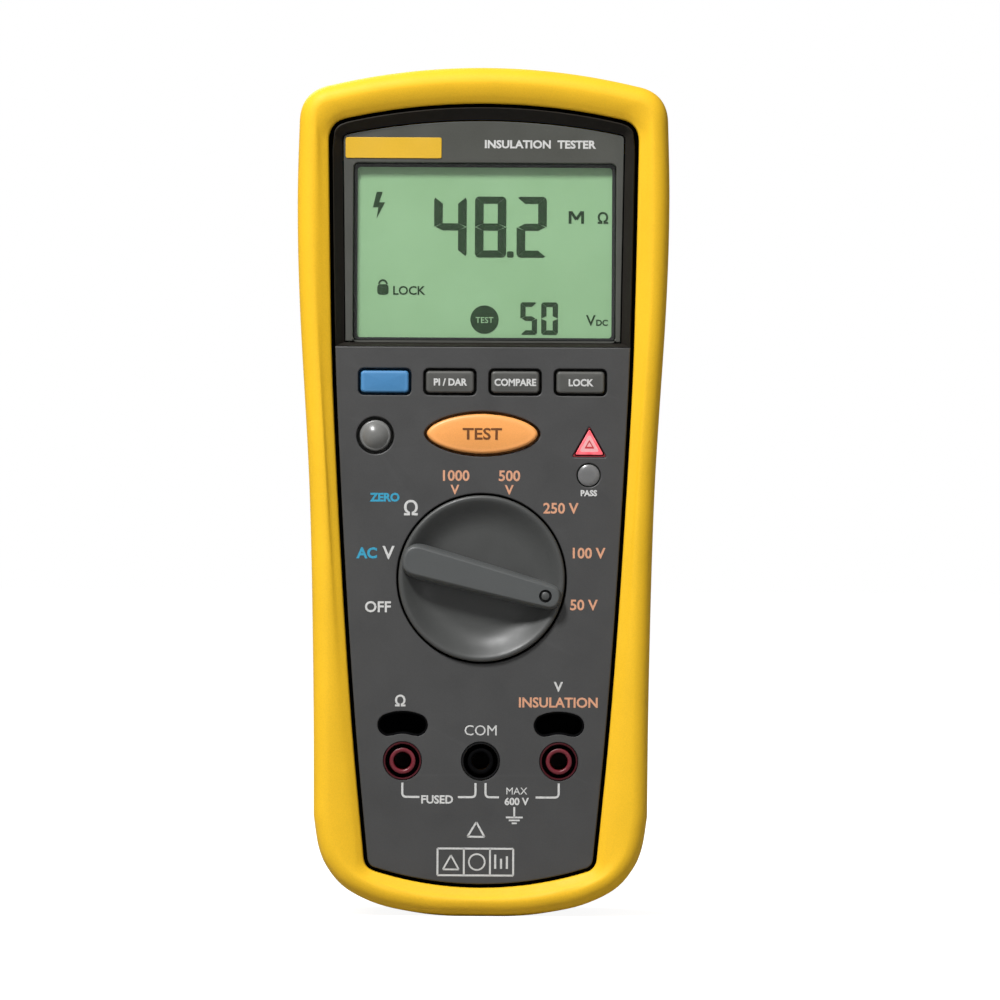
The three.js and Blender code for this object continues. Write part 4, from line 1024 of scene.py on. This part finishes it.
def fasteners():
    """Two lock screws, which ride on their own bodies, and four case screws."""
    screws = [(f"door_lock_{end}_screw", f"door_lock_{end}", f"{end}_lock", (2.5, 1, 1.05, 0.9))
              for end in ("low", "high")]
    screws += [(f"case_screw_{n}_steel", f"case_screw_{n}", "case", (2.7, 1.7, 1.35, 0.7))
               for n in (1, 2, 3, 4)]
    for name, node, body, size in screws:
        solid = Solid()
        slotted_head(solid, node, *size)
        piece(name, solid, "steel", node, "steel", 35, body=body)


# ------------------------------------------------------------------ display figures

SEGMENTS = {"0": "abcdef", "2": "abged", "4": "fgbc", "5": "afgcd", "8": "abcdefg"}


def seven_segment(solid, figure, x, z, width, height, upright, flat, y):
    """Figure with mitred strokes; x, z is its lower left corner."""
    left, right, high, half = x, x + width, z + height, z + height / 2
    gap, cut = 0.04, 0.42 * upright
    nip, inner_left, inner_right = 0.3 * cut, x + upright, x + width - upright
    shapes = {
        "a": [(left + nip + gap, high - nip), (left + cut, high), (right - cut, high),
              (right - nip - gap, high - nip), (inner_right, high - flat), (inner_left, high - flat)],
        "g": [(left + gap + 0.3, half), (inner_left, half + flat / 2), (inner_right, half + flat / 2),
              (right - gap - 0.3, half), (inner_right, half - flat / 2), (inner_left, half - flat / 2)],
        "f": [(left, high - cut), (left + nip, high - nip - gap), (inner_left, high - flat - gap),
              (inner_left, half + flat / 2 + gap), (left, half + gap)],
    }
    for upper, lower in (("a", "d"), ("f", "e")):
        shapes[lower] = [(px, 2 * half - pz) for px, pz in shapes[upper]]
    for near, far in (("f", "b"), ("e", "c")):
        shapes[far] = [(left + right - px, pz) for px, pz in shapes[near]]
    for key in SEGMENTS[figure]:
        solid.flat(shapes[key], y, y + 0.06)


def display_figures():
    """The reading and its small marks, lying on the glass just behind the window."""
    y, solid = GLASS_FRONT - 0.07, Solid()
    x0, z0 = WINDOW[0] - WINDOW[2] / 2, WINDOW[1] - WINDOW[3] / 2

    def mark(points):
        solid.flat([(x0 + px, z0 + pz) for px, pz in points], y, y + 0.06)

    for figure, x, width in (("4", 19.3, 7.8), ("8", 29.1, 7.5), ("2", 39.1, 7.2)):
        seven_segment(solid, figure, x0 + x, z0 + 20.2, width, 14.6, 2.05, 1.7, y)
    for figure, x in (("5", 40.1), ("0", 45.1)):
        seven_segment(solid, figure, x0 + x, z0 + 1.7, 4, 7.8, 1.25, 1.1, y)
    bolt = [(0.9, 6.4), (2.3, 6.4), (1.5, 3.9), (2.9, 3.9), (0.9, 0), (1.3, 2.7), (0, 2.7)]
    mark(rectangle(37.6, 20.95, 1.6, 1.5, 0.3, 2))
    mark([(4.6 + px, 29.4 + pz) for px, pz in bolt])
    mark(rectangle(7.1, 12.4, 2.7, 2.5, 0.7, 4))
    mark(arc(7.1, 13.7, 1.15, 180, 0, 12) + arc(7.1, 13.7, 0.7, 0, 180, 12))
    mark(circle(31.5, 5.3, 3.4, 64))
    for path in ([(51.9, 28.4), (51.9, 31.4)], [(52.1, 31.3), (53.4, 29.4)], [(53.4, 29.4), (54.7, 31.3)],
                 [(54.9, 31.4), (54.9, 28.4)]):
        stroke(solid, [(x0 + px, z0 + pz) for px, pz in path], 0.7, y + 0.02)
    piece("display_digits", solid, "segments", weighted=False)
    for name, text, x, z, size, bold in (
            ("ohm", "Ω", 58.4, 28.5, 3.6, 0.1), ("LOCK", "LOCK", 9.4, 11.2, 2.9, 0.06),
            ("V", "V", 55.9, 4.0, 3.6, 0.06), ("DC", "DC", 58.2, 4.0, 2.0, 0.06)):
        label(f"display_text_{name}", text, x0 + x, z0 + z, size, "segments", y + 0.03, False, bold)
    label("display_text_mode", "TEST", x0 + 31.5, z0 + 4.5, 2.0, "display", y - 0.03, True, 0.01)


# ------------------------------------------------------------------ printing on the deck

PRINT_Y = DECK_FRONT - 0.012


def label(name, text, x, z, size, material, y=PRINT_Y, centred=True, bold=0.08, body="case", width=1.0):
    """Printed or displayed lettering: a thin raised mesh whose baseline is at z."""
    curve = bpy.data.curves.new(name, "FONT")
    curve.body = text
    curve.size = size
    curve.align_x = "CENTER" if centred else "LEFT"
    curve.offset = bold
    curve.extrude = 0.02
    curve.resolution_u = 3
    draft = bpy.data.objects.new(name + "_draft", curve)
    bpy.context.scene.collection.objects.link(draft)
    mesh = bpy.data.meshes.new_from_object(draft.evaluated_get(bpy.context.evaluated_depsgraph_get()))
    bpy.data.objects.remove(draft)
    stand_up = Matrix.Translation((x * MM, y * MM, z * MM)) @ Matrix.Rotation(radians(90), 4, "X")
    mesh.transform(stand_up @ Matrix.Diagonal((MM * width, MM, MM, 1)))
    mesh.name = name
    mesh.materials.clear()
    mesh.materials.append(M[material])
    obj = bpy.data.objects.new(name, mesh)
    bpy.context.scene.collection.objects.link(obj)
    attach(obj, body)


def stroke(solid, points, width, y=PRINT_Y):
    """Printed line of constant width along an open path."""
    left, right = [], []
    for i, (x, z) in enumerate(points):
        (ax, az), (bx, bz) = points[max(i - 1, 0)], points[min(i + 1, len(points) - 1)]
        half = width / 2 / hypot(bx - ax, bz - az)
        left.append((x - half * (bz - az), z + half * (bx - ax)))
        right.append((x + half * (bz - az), z - half * (bx - ax)))
    solid.flat(left + right[::-1], y - 0.02, y + 0.02)


def closed_stroke(solid, points, width):
    """Printed line round a closed shape, one straight stroke a side."""
    for side in zip(points, points[1:] + points[:1]):
        stroke(solid, side, width)


def dial_labels():
    for name, text, x, z, size, colour in (
            ("dial_50", "50 V", 24.4, 73.4, 3.5, "tan"), ("dial_100", "100 V", 25.3, 85.8, 3.5, "tan"),
            ("dial_250", "250 V", 18.8, 96.5, 3.5, "tan"), ("dial_500", "500", 6.5, 104.2, 3.5, "tan"),
            ("dial_500_unit", "V", 6.5, 101.0, 3.1, "tan"), ("dial_1000", "1000", -6.5, 104.2, 3.5, "tan"),
            ("dial_1000_unit", "V", -6.5, 101.0, 3.1, "tan"), ("dial_ohm", "Ω", -17.0, 95.9, 4.8, "white"),
            ("dial_volt", "V", -22.3, 85.4, 4.4, "white"), ("dial_off", "OFF", -24.8, 72.7, 3.6, "white")):
        label(name, text, x, z, size, f"{colour}_ink")
    for name, text, x, z, size in (("second_ohm", "ZERO", -23.2, 99.2, 2.7),
                                   ("second_volt", "AC", -27.4, 85.6, 3.5)):
        label(name, text, x, z, size, "cyan_ink", bold=0.12)


def socket_labels():
    for name, text, x, z, size, colour in (
            ("socket_ohm", "Ω", -19.3, 50.2, 3.6, "white"), ("socket_volt", "V", 18.5, 53.9, 3.2, "white"),
            ("socket_use", "INSULATION", 18.5, 50.1, 3.3, "tan"),
            ("socket_common", "COM", 0, 43.3, 3.5, "white"),
            ("fused", "FUSED", -10.4, 27.0, 2.7, "white"), ("limit_word", "MAX", 8.6, 29.2, 2.4, "white"),
            ("limit_value", "600 V", 8.6, 26.7, 2.4, "white")):
        label(name, text, x, z, size, f"{colour}_ink", bold=0 if "M" in text else 0.08)


def bracket_lines():
    """Lines that join the sockets to their ratings, the earth sign, and a plain triangle and box."""
    solid = Solid()
    low, high = 28.5, 31.9
    for x, side, stop in ((-JACK_X, 1, -14.6), (-1.2, -1, -5.4), (1.2, 1, 4.4), (JACK_X, -1, 13.2)):
        corner = quad((x, low + 1), (x, low), (x + side, low), 6)
        stroke(solid, [(x, high), (x, low + 1)] + corner + [(stop, low)], 0.5)
    earth_x, earth_top = 8.1, 23.7
    for z, half in ((earth_top, 2.0), (23.0, 1.3), (22.3, 0.6)):
        stroke(solid, [(earth_x - half, z), (earth_x + half, z)], 0.4)
    stroke(solid, [(earth_x, earth_top), (earth_x, 26.2)], 0.45)
    closed_stroke(solid, triangle(-1, 20.8, 4.2, 3.6, 0.05)[::5], 0.45)
    left, right, bottom, top = -10.2, 7.9, 9.8, 16.2
    closed_stroke(solid, [(left, bottom), (right, bottom), (right, top), (left, top)], 0.45)
    for x in (left / 2 + 1.2, right / 2 - 1.6):
        stroke(solid, [(x, bottom), (x, top)], 0.45)
    closed_stroke(solid, [(-8.9, 11.2), (-5.1, 11.2), (-7.0, 14.6)], 0.4)
    for x, height in ((3.6, 3.4), (5.0, 2.4), (6.4, 3.0)):
        stroke(solid, [(x, 11.4), (x, 11.4 + height)], 0.5)
    closed_stroke(solid, circle(-0.8, 13, 1.9, 24), 0.4)
    piece("printed_lines", solid, "white_ink", weighted=False)


def deck_labels():
    label("title", "INSULATION  TESTER", 13.4, 183.9, 2.6, "white_ink", BEZEL_FRONT - 0.012, bold=0.09,
          width=1.06)
    front = span("key_ratio")[0][1] + 0.02
    for name, text, x in zip(("ratio", "compare", "lock"), ("PI / DAR", "COMPARE", "LOCK"), KEY_X[1:]):
        label(f"key_text_{name}", text, x, KEY_Z - 0.85, 2.3, "white_ink", front, body=f"{name}_key",
              width=0.95)
    label("key_text_test", "TEST", TEST_X, TEST_Z - 1.3, 3.8, "brown_ink", span("key_test")[0][1],
          body="test_key", width=1.14)
    label("pass_text", "PASS", PASS_X, 100.7, 1.9, "white_ink")


def internals():
    """The CAD's own meshes keep their shape inside the case, and take these finishes."""
    finishes = {
        "board": ["key_board", "main_board"], "core": ["transformer"], "sleeve": ["reservoir_capacitor"],
        "ceramic": ["fuse"], "black": ["fuse_holder", "battery_tray", "display_frame"],
        "diffuser": ["display_backlight"], "keypad": ["keypad_sheet"], "diode_red": ["warning_diode"],
        "diode_green": ["pass_diode"], "natural": ["knob_shaft", "switch_rotor", "detent_ring"],
        "brass": ["rotor_wiper"], "cell": [f"cell_{n}" for n in (1, 2, 3, 4)],
        "steel": ["stand_pin", "cell_contact_left_low", "cell_contact_left_middle", "cell_contact_left_top",
                  "cell_contact_right_low", "cell_contact_right_top"],
    }
    for material, nodes in finishes.items():
        for node in nodes:
            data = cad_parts[node].data
            data.materials.clear()
            data.materials.append(M[material])


front_rim()
rim_flange()
seam_gasket()
rear_shell()
deck()
display_wall()
display()
keys()
lamps()
knob_disc()
knob_grip()
knob_pointer()
jack("left", -JACK_X, "red", "maroon", "socket_red")
# The common socket's post is near-black as painted shade in its hole.
jack("com", 0, "black_and_painted_shade", "black", "black_plastic")
jack("right", JACK_X, "red", "maroon", "socket_red")
probe_slots()
tilt_stand()
battery_door()
fasteners()
display_figures()
dial_labels()
socket_labels()
bracket_lines()
deck_labels()
internals()

# ------------------------------------------------------------------ floor, light and camera

def stage():
    mesh = bpy.data.meshes.new("floor")
    size = 6
    corners = [(-size, -size, 0), (size, -size, 0), (size, size, 0), (-size, size, 0)]
    mesh.from_pydata(corners, [], [(0, 1, 2, 3)])
    floor = bpy.data.objects.new("floor", mesh)
    bpy.context.scene.collection.objects.link(floor)
    n = Nodes("floor_pale")
    n.put("Base Color", n.mix(n.span(n.noise(60), 0, 1), (0.3, 0.3, 0.3, 1), (0.32, 0.32, 0.32, 1)))
    n.put("Roughness", 0.9)
    n.put("Specular IOR Level", 0.1)
    seen = n.add("ShaderNodeLightPath").outputs["Is Camera Ray"]
    n.put("Emission Strength", n.span(seen, 0, 0.93, 0, 1))
    n.put("Emission Color", (1, 1, 1, 1))
    mesh.materials.append(n.material)


def area_light(name, place, size, power):
    data = bpy.data.lights.new(name, "AREA")
    data.shape = "DISK"
    data.size = size
    data.energy = power
    light = bpy.data.objects.new(name, data)
    light.location = place
    aim = Vector((0, 0, CASE_TOP / 2 * MM)) - Vector(place)
    light.rotation_euler = aim.to_track_quat("-Z", "Y").to_euler()
    bpy.context.scene.collection.objects.link(light)


def studio():
    """Three soft lamps, a plain backdrop, and surroundings that get darker towards the floor."""
    area_light("key", (-0.5, -0.85, 1.25), 0.3, 32)
    area_light("fill", (0.7, -1.3, 0.35), 0.9, 1.3)
    area_light("back", (-0.5, 1.2, 1.0), 0.9, 10)
    world = bpy.data.worlds.new("studio")
    world.use_nodes = True
    tree = world.node_tree
    tree.nodes.clear()
    kinds = ("OutputWorld", "MixShader", "LightPath", "Background", "SeparateXYZ", "TexCoord", "MapRange",
             "Background")
    output, mix, path, ambient, way, place, fall, backdrop = [tree.nodes.new(f"ShaderNode{kind}")
                                                              for kind in kinds]
    for key, value in (("From Min", -0.6), ("From Max", 0.8), ("To Min", 0.03), ("To Max", 0.3)):
        fall.inputs[key].default_value = value
    for start, end in (
            (place.outputs["Generated"], way.inputs[0]), (way.outputs["Z"], fall.inputs["Value"]),
            (fall.outputs[0], ambient.inputs["Strength"]), (path.outputs["Is Camera Ray"], mix.inputs["Fac"]),
            (ambient.outputs[0], mix.inputs[1]), (backdrop.outputs[0], mix.inputs[2]),
            (mix.outputs[0], output.inputs["Surface"])):
        tree.links.new(start, end)
    for node in (ambient, backdrop):
        node.inputs["Color"].default_value = (1, 1, 1, 1)
    bpy.context.scene.world = world
    bpy.context.scene.view_settings.view_transform = "Standard"


def camera():
    """Long lens, square on to the face, with the object a little left of the middle."""
    seen = 0.2388
    distance = 1.7
    data = bpy.data.cameras.new("camera")
    data.sensor_width = 36
    data.lens = 36 * distance / seen
    cam = bpy.data.objects.new("camera", data)
    cam.location = (0.0043, RIM_FRONT * MM - distance, 0.0996)
    cam.rotation_euler = (radians(90), radians(-0.3), 0)
    bpy.context.scene.collection.objects.link(cam)
    bpy.context.scene.camera = cam


stage()
studio()
camera()
